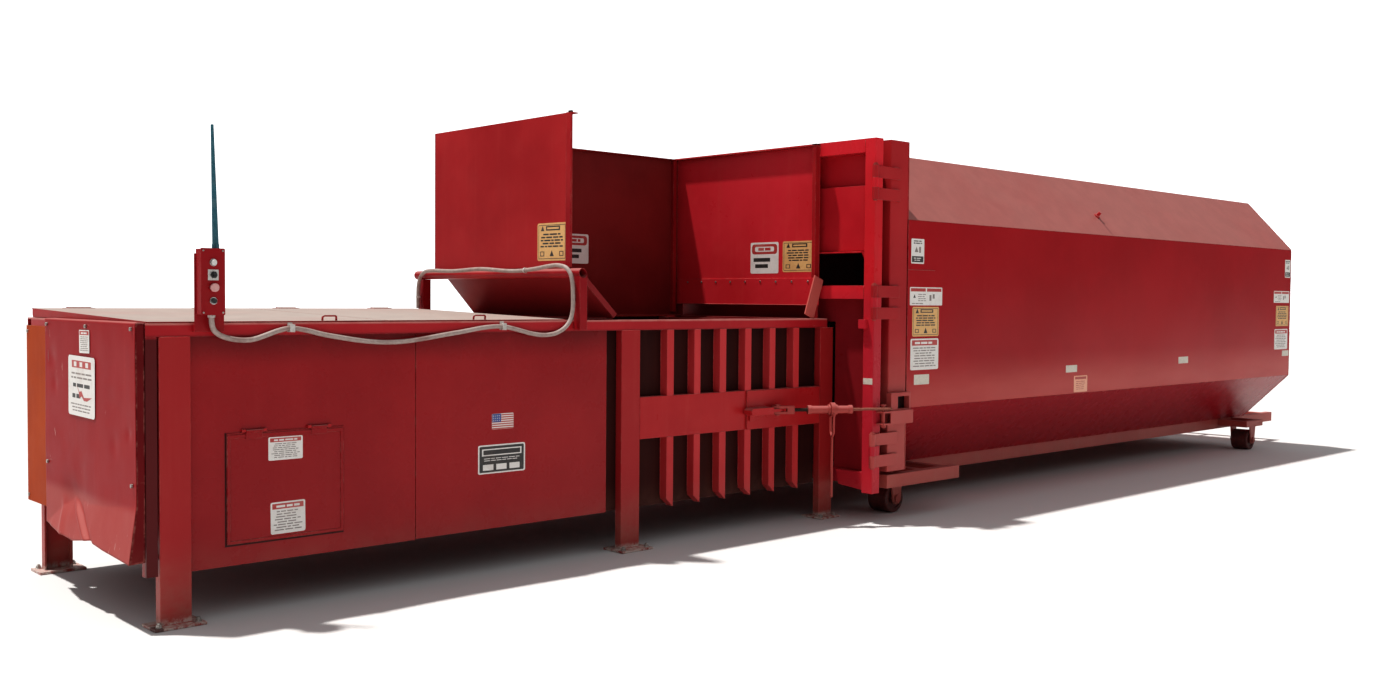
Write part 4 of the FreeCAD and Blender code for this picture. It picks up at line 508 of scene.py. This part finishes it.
M_INKGREY = metal("ink_grey", (0.20, 0.17, 0.16), (0.30, 0.26, 0.24), 0.4, metallic=0.0, stain=(0.45, 0.38, 0.34), stain_amt=0.4, bevel=None)
M_REFLEX = metal("reflector_silver", (0.62, 0.58, 0.50), (0.72, 0.68, 0.59), 0.3, metallic=0.0, stain=(0.38, 0.30, 0.27), stain_amt=0.3, scale=160, bevel=None)


def legend(name):
    """White legend plate or chrome sleeves in one node, told apart by height."""
    g = G(name)
    n = g.noise(90, 5)
    pl = g.mul(g.band(g.z, 1.5405, 1.5895, 0.0008), g.mr(g.ny, -0.9, -0.7, 1.0, 0.0))
    col = g.mix(pl, g.mix(n, (0.5, 0.5, 0.5), (0.72, 0.71, 0.7)), (0.62, 0.6, 0.58))
    return g.done(col, g.mr(n, 0.3, 0.7, 0.2, 0.42, "LINEAR"), g.bump(n, 0.0003, 0.3, g.bevel(0.001)), metal=g.math("SUBTRACT", 1.0, pl))


M_SLEEVE = legend("sleeves_and_legend")

MATS = {
    "legs": M_LEGS, "fasteners": M_ZINC, "deck_rim": M_RIM, "rear_cover": M_COVER, "rear_side_door": M_ORANGE,
    "side_panels": M_SIDE, "floor": M_INNER, "chamber_walls": M_CHAMB_SHADED, "wall_ribs": M_RIB, "side_bands": M_BODY,
    "lid_hinge_pins": M_BODY, "hopper_rear_wall": M_HOP, "hopper_far_wall": M_HOPFAR_SHADED, "hopper_front_wall": M_HOPF,
    "hopper_trim": M_TRIM, "hopper_tube_frame": M_TRIM, "hopper_base": M_BASE_SHADED, "cylinder_barrel": M_OILBLACK,
    "hydraulic_tank": M_OILBLACK, "power_unit": M_MOTOR, "hydraulic_lines": M_BRIGHT, "control_box": M_CTRL,
    "control_box_cover": M_CTRL, "operator_sleeves": M_SLEEVE, "signal_mast": M_MAST, "conduit": M_CONDUIT,
    "conduit_fittings": M_FITTING, "binder_lugs": M_BODY, "ram_shell": M_INNER, "ram_wear_shoes": M_WEAR,
    "cylinder_rod": M_CHROME, "deck_lid_rear": M_LID, "deck_lid_front": M_LID, "access_hatch": M_SIDE,
    "start_button": M_WHITEBTN, "selector_knob": M_BLACK, "stop_mushroom": M_STOP, "reverse_button": M_BLACK,
    "binder_near": M_BIND, "binder_far": M_BIND, "ratchet_handle_near": M_HANDLE, "ratchet_handle_far": M_HANDLE,
    "container_sides": M_CSIDE, "container_slopes": M_CSLOPE, "container_nose_wall": M_CFRAME,
    "container_end_frame": M_CFRAME, "container_underframe": M_RAILS, "roller_carriers": M_RAILS,
    "container_pins": M_HANDLE, "container_brackets": M_CFRAME, "door_seal": M_RUBBER, "door_frame": M_DOOR_LIT,
    "door_sheets": M_SHEETS_LIT, "door_fittings": M_DOOR_LIT,
    "roller_rear_near": M_ROLLER, "roller_rear_far": M_ROLLER, "roller_front_near": M_ROLLER, "roller_front_far": M_ROLLER,
}
for n, o in NODES.items():
    m = MATS[n]
    if not o.material_slots:
        o.data.materials.append(m)
    for s in o.material_slots:
        s.link = "OBJECT"
        s.material = m


# ---------------------------------------------------------------- mesh helpers
def obj(name, verts, faces, mats, body, slot, idx=None, smooth=False):
    me = bpy.data.meshes.new(name)
    me.from_pydata([tuple(v) for v in verts], [], faces)
    for m in (mats if isinstance(mats, (list, tuple)) else [mats]):
        me.materials.append(m)
    if idx:
        for p, i in zip(me.polygons, idx):
            p.material_index = i
    if smooth:
        for p in me.polygons:
            p.use_smooth = True
    me.update()
    bm = bmesh.new()
    bm.from_mesh(me)
    bmesh.ops.recalc_face_normals(bm, faces=bm.faces)
    bm.to_mesh(me)
    bm.free()
    o = bpy.data.objects.new(name, me)
    bpy.context.scene.collection.objects.link(o)
    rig.ride(o, body)
    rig.slot(o, slot)
    return o


# ---------------------------------------------------------------- rear cover, creased and crumpled at the foot
def crease(y):
    k = [(-0.81, 0.552), (-0.40, 0.505), (-0.12, 0.492), (0.01, 0.497), (0.12, 0.455), (0.24, 0.40), (0.36, 0.345), (0.401, 0.335)]
    for (a, za), (b, zb) in zip(k, k[1:]):
        if y <= b:
            return za + (zb - za) * (y - a) / (b - a)
    return k[-1][1]


def foot_z(y):
    k = [(-0.81, 0.300), (-0.50, 0.318), (-0.30, 0.336), (-0.24, 0.329), (-0.083, 0.306), (0.05, 0.314), (0.20, 0.322), (0.354, 0.330), (0.401, 0.334)]
    for (a, za), (b, zb) in zip(k, k[1:]):
        if y <= b:
            return za + (zb - za) * (y - a) / (b - a)
    return k[-1][1]


NY, NZ = 150, 130
vv, ff = [], []
for j in range(NZ + 1):
    for i in range(NY + 1):
        y = -0.810 + 1.211 * i / NY
        zb = foot_z(y)
        if j < 8:      # top flange over the rim
            t = j / 8
            x, z = 0.008 - 0.044 * t, 1.3537
        else:
            t = (j - 8) / (NZ - 8)
            z = 1.3515 + (zb - 1.3515) * t
            x = -0.0395
            c = crease(y)
            if z < c:
                depth = min(1.0, (c - z) / max(0.05, c - zb))
                kick = 0.034 * (1.0 - 0.65 * max(0.0, min(1.0, (y - 0.12) / 0.2)))
                x -= kick * depth
            # the crumple: pushed in above the fold, folded ridge running to the foot
            r = math.hypot((y - 0.0) / 0.17, (z - 0.50) / 0.07)
            x += 0.016 * math.exp(-r * r)
            ry = 0.01 + (0.497 - z) / (0.497 - 0.342) * -0.251
            if z < 0.50:
                s = min(1.0, (0.50 - z) / 0.06)
                x -= 0.010 * s * math.exp(-((y - ry) / 0.020) ** 2)
                x += 0.012 * s * math.exp(-((y - ry + 0.055) / 0.030) ** 2)
                x -= 0.006 * s * math.exp(-((y - 0.16 + (0.5 - z) * 0.4) / 0.03) ** 2)
            x += 0.0022 * noise.noise(Vector((y * 2.3, z * 2.0, 3.0)))
            x += 0.0012 * noise.noise(Vector((y * 7.0, z * 6.0, 9.0)))
            for (dy, dz, rr, dd) in ((0.30, 1.16, 0.05, 0.004), (0.26, 1.04, 0.04, 0.004), (-0.55, 0.80, 0.05, 0.004), (-0.10, 0.62, 0.09, 0.005), (-0.72, 0.86, 0.03, 0.004)):
                x += dd * math.exp(-(((y - dy) / rr) ** 2 + ((z - dz) / rr) ** 2))
            x = max(x, -0.0790) if z < 0.9 else x
        vv.append((x + SX, y, z))
for j in range(NZ):
    for i in range(NY):
        a = j * (NY + 1) + i
        ff.append((a, a + 1, a + NY + 2, a + NY + 1))
cover = obj("rear_cover_sheet", vv, ff, M_COVER, "root", "red_paint", smooth=True)
mod = cover.modifiers.new("gauge", "SOLIDIFY")
mod.thickness = 0.0016
mod.offset = 0.0
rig.replaces(cover, "rear_cover")
vv2, ff2 = [], []
for j in range(8, NZ + 1):
    xe = vv[j * (NY + 1)][0]
    ze = vv[j * (NY + 1)][2]
    for i in range(6):
        t = i / 5.0
        vv2.append((xe + (SX - 0.003 - xe) * t, -0.8113 - 0.0006 * math.sin(t * math.pi), ze + 0.004 * t * (ze < 0.56)))
for j in range(NZ - 8):
    for i in range(5):
        a = j * 6 + i
        ff2.append((a, a + 1, a + 7, a + 6))
ret = obj("rear_cover_return", vv2, ff2, M_RETURN_SHADED, "root", "red_paint", smooth=True)
mod = ret.modifiers.new("gauge", "SOLIDIFY")
mod.thickness = 0.0016
mod.offset = 0.0


# ---------------------------------------------------------------- labels
def rounded(w, h, r, n=4):
    pts = []
    for cx, cy, a0 in ((w - r, h - r, 0), (r, h - r, 90), (r, r, 180), (w - r, r, 270)):
        for k in range(n + 1):
            a = math.radians(a0 + 90 * k / n)
            pts.append((cx + r * math.cos(a), cy + r * math.sin(a)))
    return pts


class Label:
    def __init__(self, name, origin, u, v, w, h, body):
        self.name, self.o, self.body = name, Vector(origin), body
        self.u, self.v = Vector(u).normalized(), Vector(v).normalized()
        self.n = self.u.cross(self.v)
        self.w, self.h = w, h
        self.V, self.F, self.I, self.M = [], [], [], []

    def put(self, pts, lo, hi, mat):
        if mat not in self.M:
            self.M.append(mat)
        k = self.M.index(mat)
        b, n = len(self.V), len(pts)
        for z in (lo, hi):
            for (x, y) in pts:
                self.V.append(self.o + self.u * x + self.v * y + self.n * z)
        self.F.append(tuple(b + n + i for i in range(n)))
        self.I.append(k)
        self.F.append(tuple(b + n - 1 - i for i in range(n)))
        self.I.append(k)
        for i in range(n):
            j = (i + 1) % n
            self.F.append((b + i, b + j, b + n + j, b + n + i))
            self.I.append(k)

    def rect(self, x0, y0, x1, y1, mat, level=1, r=0.0015):
        w, h = x1 - x0, y1 - y0
        r = min(r, w * 0.3, h * 0.3)
        pts = [(x0 + a, y0 + b) for a, b in rounded(w, h, r, 2)]
        self.put(pts, 0.0003 * level, 0.0003 * level + 0.00035, mat)

    def lines(self, x0, y0, x1, y1, n, mat, level=1, fill=0.5):
        step = (y1 - y0) / n
        for i in range(n):
            y = y1 - step * (i + 0.5)
            L = (x1 - x0) * random.uniform(0.72, 1.0)
            cx = (x0 + x1) / 2
            x = cx - L / 2
            # uneven blocks that stand for words, with no letters
            while x < cx + L / 2 - step:
                e = min(cx + L / 2, x + step * random.uniform(1.2, 4.0))
                self.rect(x, y - step * fill / 2, e, y + step * fill / 2, mat, level, 0.0006)
                x = e + step * 0.5

    def tri(self, cx, cy, s, mat, level=1):
        self.put([(cx - s, cy - s * 0.8), (cx + s, cy - s * 0.8), (cx, cy + s)], 0.0003 * level, 0.0003 * level + 0.0003, mat)

    def make(self, slot="label_vinyl"):
        return obj(self.name, self.V, self.F, self.M, self.body, "red_paint", self.I)


def label(kind, name, origin, u, v, w, h, body):
    L = Label(name, origin, u, v, w, h, body)
    base = {"orange": M_VORANGE, "peach": M_VPEACH, "reflex": M_REFLEX, "plate": M_VINYL}.get(kind, M_VINYL)
    L.put(rounded(w, h, min(w, h) * 0.06), 0.00005, 0.0004, base)
    e = min(w, h) * 0.05
    if kind == "orange":
        for (a, b, c, d) in ((e, e, w - e, e + 0.003), (e, h - e - 0.003, w - e, h - e), (e, e, e + 0.003, h - e), (w - e - 0.003, e, w - e, h - e)):
            L.rect(a, b, c, d, M_INKBLK)
        L.rect(w * 0.30, h * 0.80, w * 0.78, h * 0.92, M_INKBLK)
        L.rect(w * 0.34, h * 0.835, w * 0.74, h * 0.885, M_VORANGE, 2)
        L.tri(w * 0.18, h * 0.855, w * 0.06, M_INKBLK)
        L.lines(w * 0.10, h * 0.34, w * 0.90, h * 0.74, 5, M_INKBLK)
        L.tri(w * 0.50, h * 0.19, w * 0.07, M_INKBLK)
        L.rect(w * 0.10, h * 0.12, w * 0.24, h * 0.25, M_INKBLK)
        L.rect(w * 0.125, h * 0.14, w * 0.215, h * 0.23, M_VORANGE, 2)
        L.rect(w * 0.76, h * 0.12, w * 0.90, h * 0.25, M_INKBLK)
        L.rect(w * 0.785, h * 0.14, w * 0.875, h * 0.23, M_VORANGE, 2)
    elif kind == "danger":
        L.rect(w * 0.05, h * 0.62, w * 0.95, h * 0.94, M_INKRED, 1, 0.02)
        L.rect(w * 0.16, h * 0.70, w * 0.84, h * 0.86, M_VINYL, 2, 0.01)
        L.lines(w * 0.22, h * 0.73, w * 0.78, h * 0.83, 1, M_INKRED, 3, 0.9)
        L.lines(w * 0.10, h * 0.14, w * 0.90, h * 0.54, 2, M_INKBLK, 1, 0.6)
    elif kind == "header":
        L.rect(w * 0.05, h * 0.78, w * 0.95, h * 0.95, M_INKRED)
        L.lines(w * 0.15, h * 0.81, w * 0.85, h * 0.91, 1, M_VINYL, 2, 0.7)
        L.lines(w * 0.08, h * 0.08, w * 0.92, h * 0.74, 8, M_INKGREY, 1, 0.4)
    elif kind == "wide":
        L.rect(w * 0.03, h * 0.76, w * 0.48, h * 0.94, M_INKRED)
        L.rect(w * 0.52, h * 0.76, w * 0.97, h * 0.94, M_INKRED)
        L.tri(w * 0.14, h * 0.50, h * 0.11, M_INKBLK)
        L.lines(w * 0.24, h * 0.20, w * 0.50, h * 0.66, 4, M_INKGREY, 1, 0.35)
        L.rect(w * 0.60, h * 0.26, w * 0.66, h * 0.58, M_INKGREY)
        L.rect(w * 0.70, h * 0.38, w * 0.76, h * 0.62, M_INKGREY)
        L.lines(w * 0.05, h * 0.05, w * 0.45, h * 0.15, 1, M_INKGREY, 1, 0.5)
    elif kind == "tallblack":
        L.rect(w * 0.06, h * 0.06, w * 0.94, h * 0.30, M_INKBLK)
        L.lines(w * 0.15, h * 0.10, w * 0.85, h * 0.26, 2, M_VINYL, 2, 0.4)
        L.lines(w * 0.08, h * 0.78, w * 0.92, h * 0.95, 2, M_INKBLK, 1, 0.5)
        L.tri(w * 0.40, h * 0.56, w * 0.14, M_INKGREY)
        L.rect(w * 0.60, h * 0.44, w * 0.74, h * 0.68, M_INKGREY)
    elif kind == "maker":
        L.rect(w * 0.14, h * 0.80, w * 0.86, h * 0.92, M_INKRED)
        for k in range(3):
            x = w * (0.22 + 0.22 * k)
            L.rect(x, h * 0.82, x + w * 0.10, h * 0.90, M_VINYL, 2)
        L.lines(w * 0.10, h * 0.60, w * 0.90, h * 0.74, 2, M_INKGREY, 1, 0.4)
        L.lines(w * 0.12, h * 0.46, w * 0.88, h * 0.56, 1, M_INKBLK, 1, 0.6)
        L.lines(w * 0.12, h * 0.28, w * 0.50, h * 0.38, 1, M_INKBLK, 1, 0.7)
        L.lines(w * 0.10, h * 0.06, w * 0.90, h * 0.22, 3, M_INKGREY, 1, 0.4)
        # scrape through the sheet showing paint
        L.put([(w * .34, h * .50), (w * .44, h * .40), (w * .50, h * .43), (w * .60, h * .32), (w * .90, h * .34),
               (w * .72, h * .27), (w * .60, h * .27), (w * .52, h * .34), (w * .44, h * .30), (w * .40, h * .42)][::-1][::-1], 0.0009, 0.0012, M_INKRED)
    elif kind == "stripes":
        for k in range(7):
            L.rect(0.001, h * (k / 7.0) + h * 0.01, w - 0.001, h * (k / 7.0) + h * 0.085, M_INKRED)
        L.rect(0.002, h * 0.46, w * 0.42, h - 0.001, M_INKBLUE, 2)
        for r in range(3):
            for c in range(4):
                L.rect(w * (0.05 + 0.09 * c), h * (0.53 + 0.15 * r), w * (0.08 + 0.09 * c), h * (0.59 + 0.15 * r), M_VINYL, 3, 0.0005)
    elif kind == "plate":
        L.rect(w * 0.03, h * 0.05, w * 0.97, h * 0.95, M_INKBLK, 1, 0.006)
        L.rect(w * 0.08, h * 0.62, w * 0.92, h * 0.86, M_VINYL, 2)
        L.rect(w * 0.11, h * 0.66, w * 0.89, h * 0.82, M_INKBLK, 3)
        L.lines(w * 0.10, h * 0.42, w * 0.90, h * 0.56, 2, M_VINYL, 2, 0.35)
        for k in range(3):
            L.rect(w * (0.10 + 0.28 * k), h * 0.12, w * (0.32 + 0.28 * k), h * 0.32, M_VINYL, 2)
    elif kind == "reflex":
        n = 5
        for k in range(n):
            for q in range(3):
                x, y = w * (0.06 + 0.18 * k), h * (0.10 + 0.28 * q)
                L.rect(x, y, x + w * 0.155, y + h * 0.23, M_REFLEX, 1, 0.003)
    elif kind == "peach":
        L.rect(w * 0.08, h * 0.78, w * 0.92, h * 0.93, M_INKRED)
        L.lines(w * 0.10, h * 0.12, w * 0.90, h * 0.70, 5, M_INKRED, 1, 0.3)
    return L.make()


UX, UZ = (1, 0, 0), (0, 0, 1)


def near(kind, name, x0, x1, z0, z1, y, body="root", tilt=0.0):
    u = (math.cos(tilt), 0, math.sin(tilt))
    v = (-math.sin(tilt), 0, math.cos(tilt))
    return label(kind, name, (x0 + SX, y, z0), u, v, x1 - x0, z1 - z0, body)


def rear(kind, name, x, y_right, y_left, z0, z1, body="root", tilt=0.0):
    """On a face that looks to -X: left edge is at the larger y."""
    u = (0, -math.cos(tilt), math.sin(tilt))
    v = (0, math.sin(tilt), math.cos(tilt))
    return label(kind, name, (x + SX, y_left, z0), u, v, y_left - y_right, z1 - z0, body)


# rear cover: x just outside the sheet
rear("header", "label_cover_small", -0.0432, 0.567 - 0.815, 0.704 - 0.815, 1.198, 1.307, tilt=0.01)
rear("maker", "label_cover_large", -0.0436, 0.50 - 0.815, 0.86 - 0.815, 0.90, 1.185, tilt=-0.012)
near("header", "label_hatch_upper", 0.570, 0.742, 0.702, 0.812, -0.7902, "access_hatch")
near("header", "label_hatch_lower", 0.581, 0.755, 0.352, 0.503, -0.7902, "access_hatch", 0.01)
near("stripes", "label_stripes", 1.827, 1.967, 0.767, 0.851, -0.7852)
near("plate", "label_name_plate", 1.739, 2.045, 0.531, 0.686, -0.7852)
rear("orange", "label_hopper_rear", 2.3748, 0.095 - 0.815, 0.368 - 0.815, 1.689, 1.906)
near("danger", "label_hopper_far", 3.375, 3.634, 1.72, 1.928, 0.6498)
rear("danger", "label_hopper_front", 4.4948, 0.421 - 0.815, 0.692 - 0.815, 1.66, 1.88)
rear("orange", "label_hopper_front_orange", 4.4948, 0.090 - 0.815, 0.382 - 0.815, 1.668, 1.881)
CY = -1.2202
near("tallblack", "label_c1", 4.919, 5.064, 1.728, 1.897, CY, "container")
near("wide", "label_c2", 4.910, 5.279, 1.445, 1.569, CY, "container")
near("orange", "label_c3", 4.941, 5.243, 1.233, 1.435, CY, "container")
near("header", "label_c4", 4.924, 5.243, 1.004, 1.218, CY, "container")
near("peach", "label_c5", 7.063, 7.269, 0.760, 0.890, CY, "container")
near("reflex", "reflector_1", 4.968, 5.140, 0.903, 0.972, CY, "container")
near("reflex", "reflector_2", 6.939, 7.108, 0.921, 0.977, CY, "container")
near("reflex", "reflector_3", 8.846, 9.033, 0.937, 0.996, CY, "container")
near("wide", "label_c6", 10.870, 11.247, 1.486, 1.604, CY, "container")
near("orange", "label_c7", 10.930, 11.236, 1.252, 1.455, CY, "container")
near("header", "label_c8", 10.905, 11.225, 1.018, 1.222, CY, "container")
near("tallblack", "label_c9", 11.128, 11.262, 1.741, 1.921, CY, "container")
near("reflex", "reflector_4", 11.10, 11.262, 0.948, 1.004, CY, "container")
rear("reflex", "reflector_door", 4.5268, -1.214, -1.136, 0.922, 0.963, "container_door")


# ---------------------------------------------------------------- weld beads
def welds(name, lines, r, body, mat, slot="red_paint", step=0.010):
    V, F = [], []
    K = 6
    for (a, b) in lines:
        a, b = Vector(a), Vector(b)
        L = (b - a).length
        n = max(4, int(L / step))
        t = (b - a).normalized()
        s = t.cross(Vector((0, 0, 1)))
        if s.length < 0.1:
            s = t.cross(Vector((0, 1, 0)))
        s.normalize()
        q = t.cross(s)
        base = len(V)
        ph = random.random() * 6
        for i in range(n + 1):
            c = a + (b - a) * (i / n)
            rr = r * (0.85 + 0.22 * math.sin(i * 2.4 + ph) + 0.18 * noise.noise(c * 40))
            if i in (0, n):
                rr *= 0.4
            off = (s * noise.noise(c * 11) + q * noise.noise(c * 13 + Vector((5, 0, 0)))) * r * 0.35
            for k in range(K):
                an = 2 * math.pi * k / K
                V.append(c + off + (s * math.cos(an) + q * math.sin(an)) * rr)
        for i in range(n):
            for k in range(K):
                F.append((base + i * K + k, base + i * K + (k + 1) % K, base + (i + 1) * K + (k + 1) % K, base + (i + 1) * K + k))
        F.append(tuple(base + k for k in range(K)))
        F.append(tuple(base + n * K + K - 1 - k for k in range(K)))
    return obj(name, V, F, mat, body, slot, smooth=True)


RIBX = [(3066, 3121), (3291, 3344), (3511, 3567), (3737, 3793), (3964, 4018), (4192, 4248)]
LEGX = [(58, 198), (2709, 2852), (4463, 4595)]
ln = []
for s in (-1, 1):
    for (x0, x1) in RIBX:
        for x in (x0 - 1, x1 + 1):
            ln.append((D(x, s * 759, 286 if x < x1 else 238), D(x, s * 759, 644)))
            ln.append((D(x, s * 759, 896), D(x, s * 759, 1288)))
        ln.append((D(x0, s * 815, 894.5), D(x1, s * 815, 894.5)))
        ln.append((D(x0, s * 815, 645.5), D(x1, s * 815, 645.5)))
        ln.append((D(x0, s * 815, 1290), D(x1, s * 815, 1290)))
    for (x0, x1) in LEGX:
        ln.append((D(x0 + 3, s * 815, 1290), D(x1 - 3, s * 815, 1290)))
        ln.append((D(x0 - 1, s * 815.5, 12.5), D(x1 + 1, s * 815.5, 12.5)))
welds("weld_beads_chamber", ln, 0.0028, "root", M_RIB)
ln = [(D(3748, -825, 650), D(3748, -825, 890)), (D(3750, -817, 893), D(4445, -817, 893)), (D(3750, -817, 647), D(4445, -817, 647)),
      (D(3742, -826, 785), D(3924, -826, 785)), (D(3930, -826, 773), D(4015, -826, 773)), (D(3930, -826, 751), D(4015, -826, 751)),
      (D(3748, 825, 650), D(3748, 825, 890)), (D(3742, 826, 785), D(3924, 826, 785)), (D(3930, 826, 773), D(4015, 826, 773)), (D(3930, 826, 751), D(4015, 826, 751))]
welds("weld_beads_lug", ln, 0.004, "root", M_BODY)
ln = [(D(4494, 649, 1445), D(4494, 649, 2512)), (D(2381, 649, 1655), D(2381, 649, 2512)), (D(4488, -730, 1441), D(4488, 640, 1441)),
      (D(2380, -760, 1649), D(2380, 640, 1649)), (D(2655, -745, 1362), D(2655, 635, 1362)), (D(2760, 649, 1353), D(4440, 649, 1353))]
welds("weld_beads_hopper", ln, 0.0035, "root", M_HOP)
ln = []
for s in (-1, 1):
    ln += [(D(4885, s * 1220, 756), D(4885, s * 1220, 2018)), (D(4885, s * 1219, 2025), D(4885, s * 766, 2519)),
           (D(11272, s * 1220, 756), D(11272, s * 1220, 2018)), (D(11272, s * 1219, 2024), D(11272, s * 766, 2520)),
           (D(11272, s * 1219, 750), D(11272, s * 766, 301)), (D(4890, s * 765.5, 300), D(11268, s * 765.5, 300))]
    for z0 in (377, 1352, 2134):
        for zs in (z0, z0 + 144):
            ln += [(D(4775.5, s * 1221, zs + 2), D(4775.5, s * 1221, zs + 76))] if s < 0 else []
            ln += [(D(4700, -1236, zs + 78.5), D(4770, -1222, zs + 78.5))] if s < 0 else []
ln += [(D(4888, -1220.3, 1685), D(5191, -1220.3, 1685))]
welds("weld_beads_container", ln, 0.003, "container", M_CFRAME)
ln = []
for s in (-1, 1):
    for z in (2450, 1574, 1485):
        ln.append((D(4527, s * 1130, z - 80 if z == 1574 else z), D(4527, s * 1130, z if z == 1574 else z + 80)) if z != 1485 else
                  (D(4527.5, s * 1131, 1486), D(4606, s * 1131, 1484)))
welds("weld_beads_door", ln, 0.003, "container_door", M_DOOR_LIT)


# ---------------------------------------------------------------- threads on the binder screws
def thread(name, side, body):
    a = math.atan2(392, 600) * (-1 if side < 0 else 1)
    o = Vector((-1.975, 0.870 * side, 0.762))
    u = Vector((math.cos(a), math.sin(a), 0))
    w = Vector((-math.sin(a), math.cos(a), 0))
    k = Vector((0, 0, 1))
    V, F = [], []
    pitch_, turns, per = 0.0055, 15.6, 22
    n = int(turns * per)
    for i in range(n + 1):
        t = i / per
        an = 2 * math.pi * t
        c = 0.1125 + pitch_ * t
        fade = min(1.0, i / 12, (n - i) / 12)
        rad = w * math.cos(an) + k * math.sin(an)
        h = 0.0108 + 0.0022 * fade
        V += [o + u * (c - 0.0022) + rad * 0.0104, o + u * c + rad * h, o + u * (c + 0.0022) + rad * 0.0104]
    for i in range(n):
        b = i * 3
        F += [(b, b + 3, b + 4, b + 1), (b + 1, b + 4, b + 5, b + 2), (b + 2, b + 5, b + 3, b)]
    F += [(0, 1, 2), (n * 3 + 2, n * 3 + 1, n * 3)]
    return obj(name, V, F, M_BIND, body, "red_paint")


thread("screw_thread_near", -1, "binder_near")
thread("screw_thread_far", 1, "binder_far")

# ---------------------------------------------------------------- floor and light
me = bpy.data.meshes.new("floor_plane")
me.from_pydata([(-60, -60, -0.0015), (60, -60, -0.0015), (60, 60, -0.0015), (-60, 60, -0.0015)], [], [(0, 1, 2, 3)])
floor_o = bpy.data.objects.new("stage_floor", me)
bpy.context.scene.collection.objects.link(floor_o)
g = G("stage_floor")
me.materials.append(g.done(g.mix(g.noise(0.6, 3), (0.66, 0.655, 0.65), (0.70, 0.695, 0.69)), 0.95, spec=0.1))
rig.stage(floor_o)

sun = bpy.data.lights.new("sun", "SUN")
sun.energy = 3.6
sun.angle = math.radians(2.0)
sun.color = (1.0, 0.97, 0.93)
so = bpy.data.objects.new("sun", sun)
bpy.context.scene.collection.objects.link(so)
az, el = math.radians(129.0), math.radians(71.5)
d = Vector((math.cos(el) * math.cos(az), math.cos(el) * math.sin(az), math.sin(el)))
so.rotation_euler = d.to_track_quat("Z", "Y").to_euler()

w = bpy.data.worlds.new("studio")
bpy.context.scene.world = w
w.use_nodes = True
t = w.node_tree
t.nodes.clear()
out = t.nodes.new("ShaderNodeOutputWorld")
bg = t.nodes.new("ShaderNodeBackground")
tc = t.nodes.new("ShaderNodeTexCoord")
sp = t.nodes.new("ShaderNodeSeparateXYZ")
t.links.new(tc.outputs["Generated"], sp.inputs[0])
mr = t.nodes.new("ShaderNodeMapRange")
mr.inputs[1].default_value, mr.inputs[2].default_value = 0.0, 0.55
mr.inputs[3].default_value, mr.inputs[4].default_value = 0.10, 0.42
t.links.new(sp.outputs[2], mr.inputs[0])
lp = t.nodes.new("ShaderNodeLightPath")
mx = t.nodes.new("ShaderNodeMix")
mx.data_type = "FLOAT"
t.links.new(lp.outputs["Is Camera Ray"], mx.inputs[0])
t.links.new(mr.outputs[0], mx.inputs[2])
mx.inputs[3].default_value = 1.25
t.links.new(mx.outputs[0], bg.inputs["Strength"])
bg.inputs["Color"].default_value = (0.97, 0.985, 1.0, 1.0)
t.links.new(bg.outputs[0], out.inputs[0])

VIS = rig.bounds()
try:
    with open("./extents.json", "w") as fh:
        json.dump({"cad": [list(map(float, k)) for k in CAD_BOX], "visual": [list(map(float, k)) for k in VIS]}, fh)
except OSError:
    pass
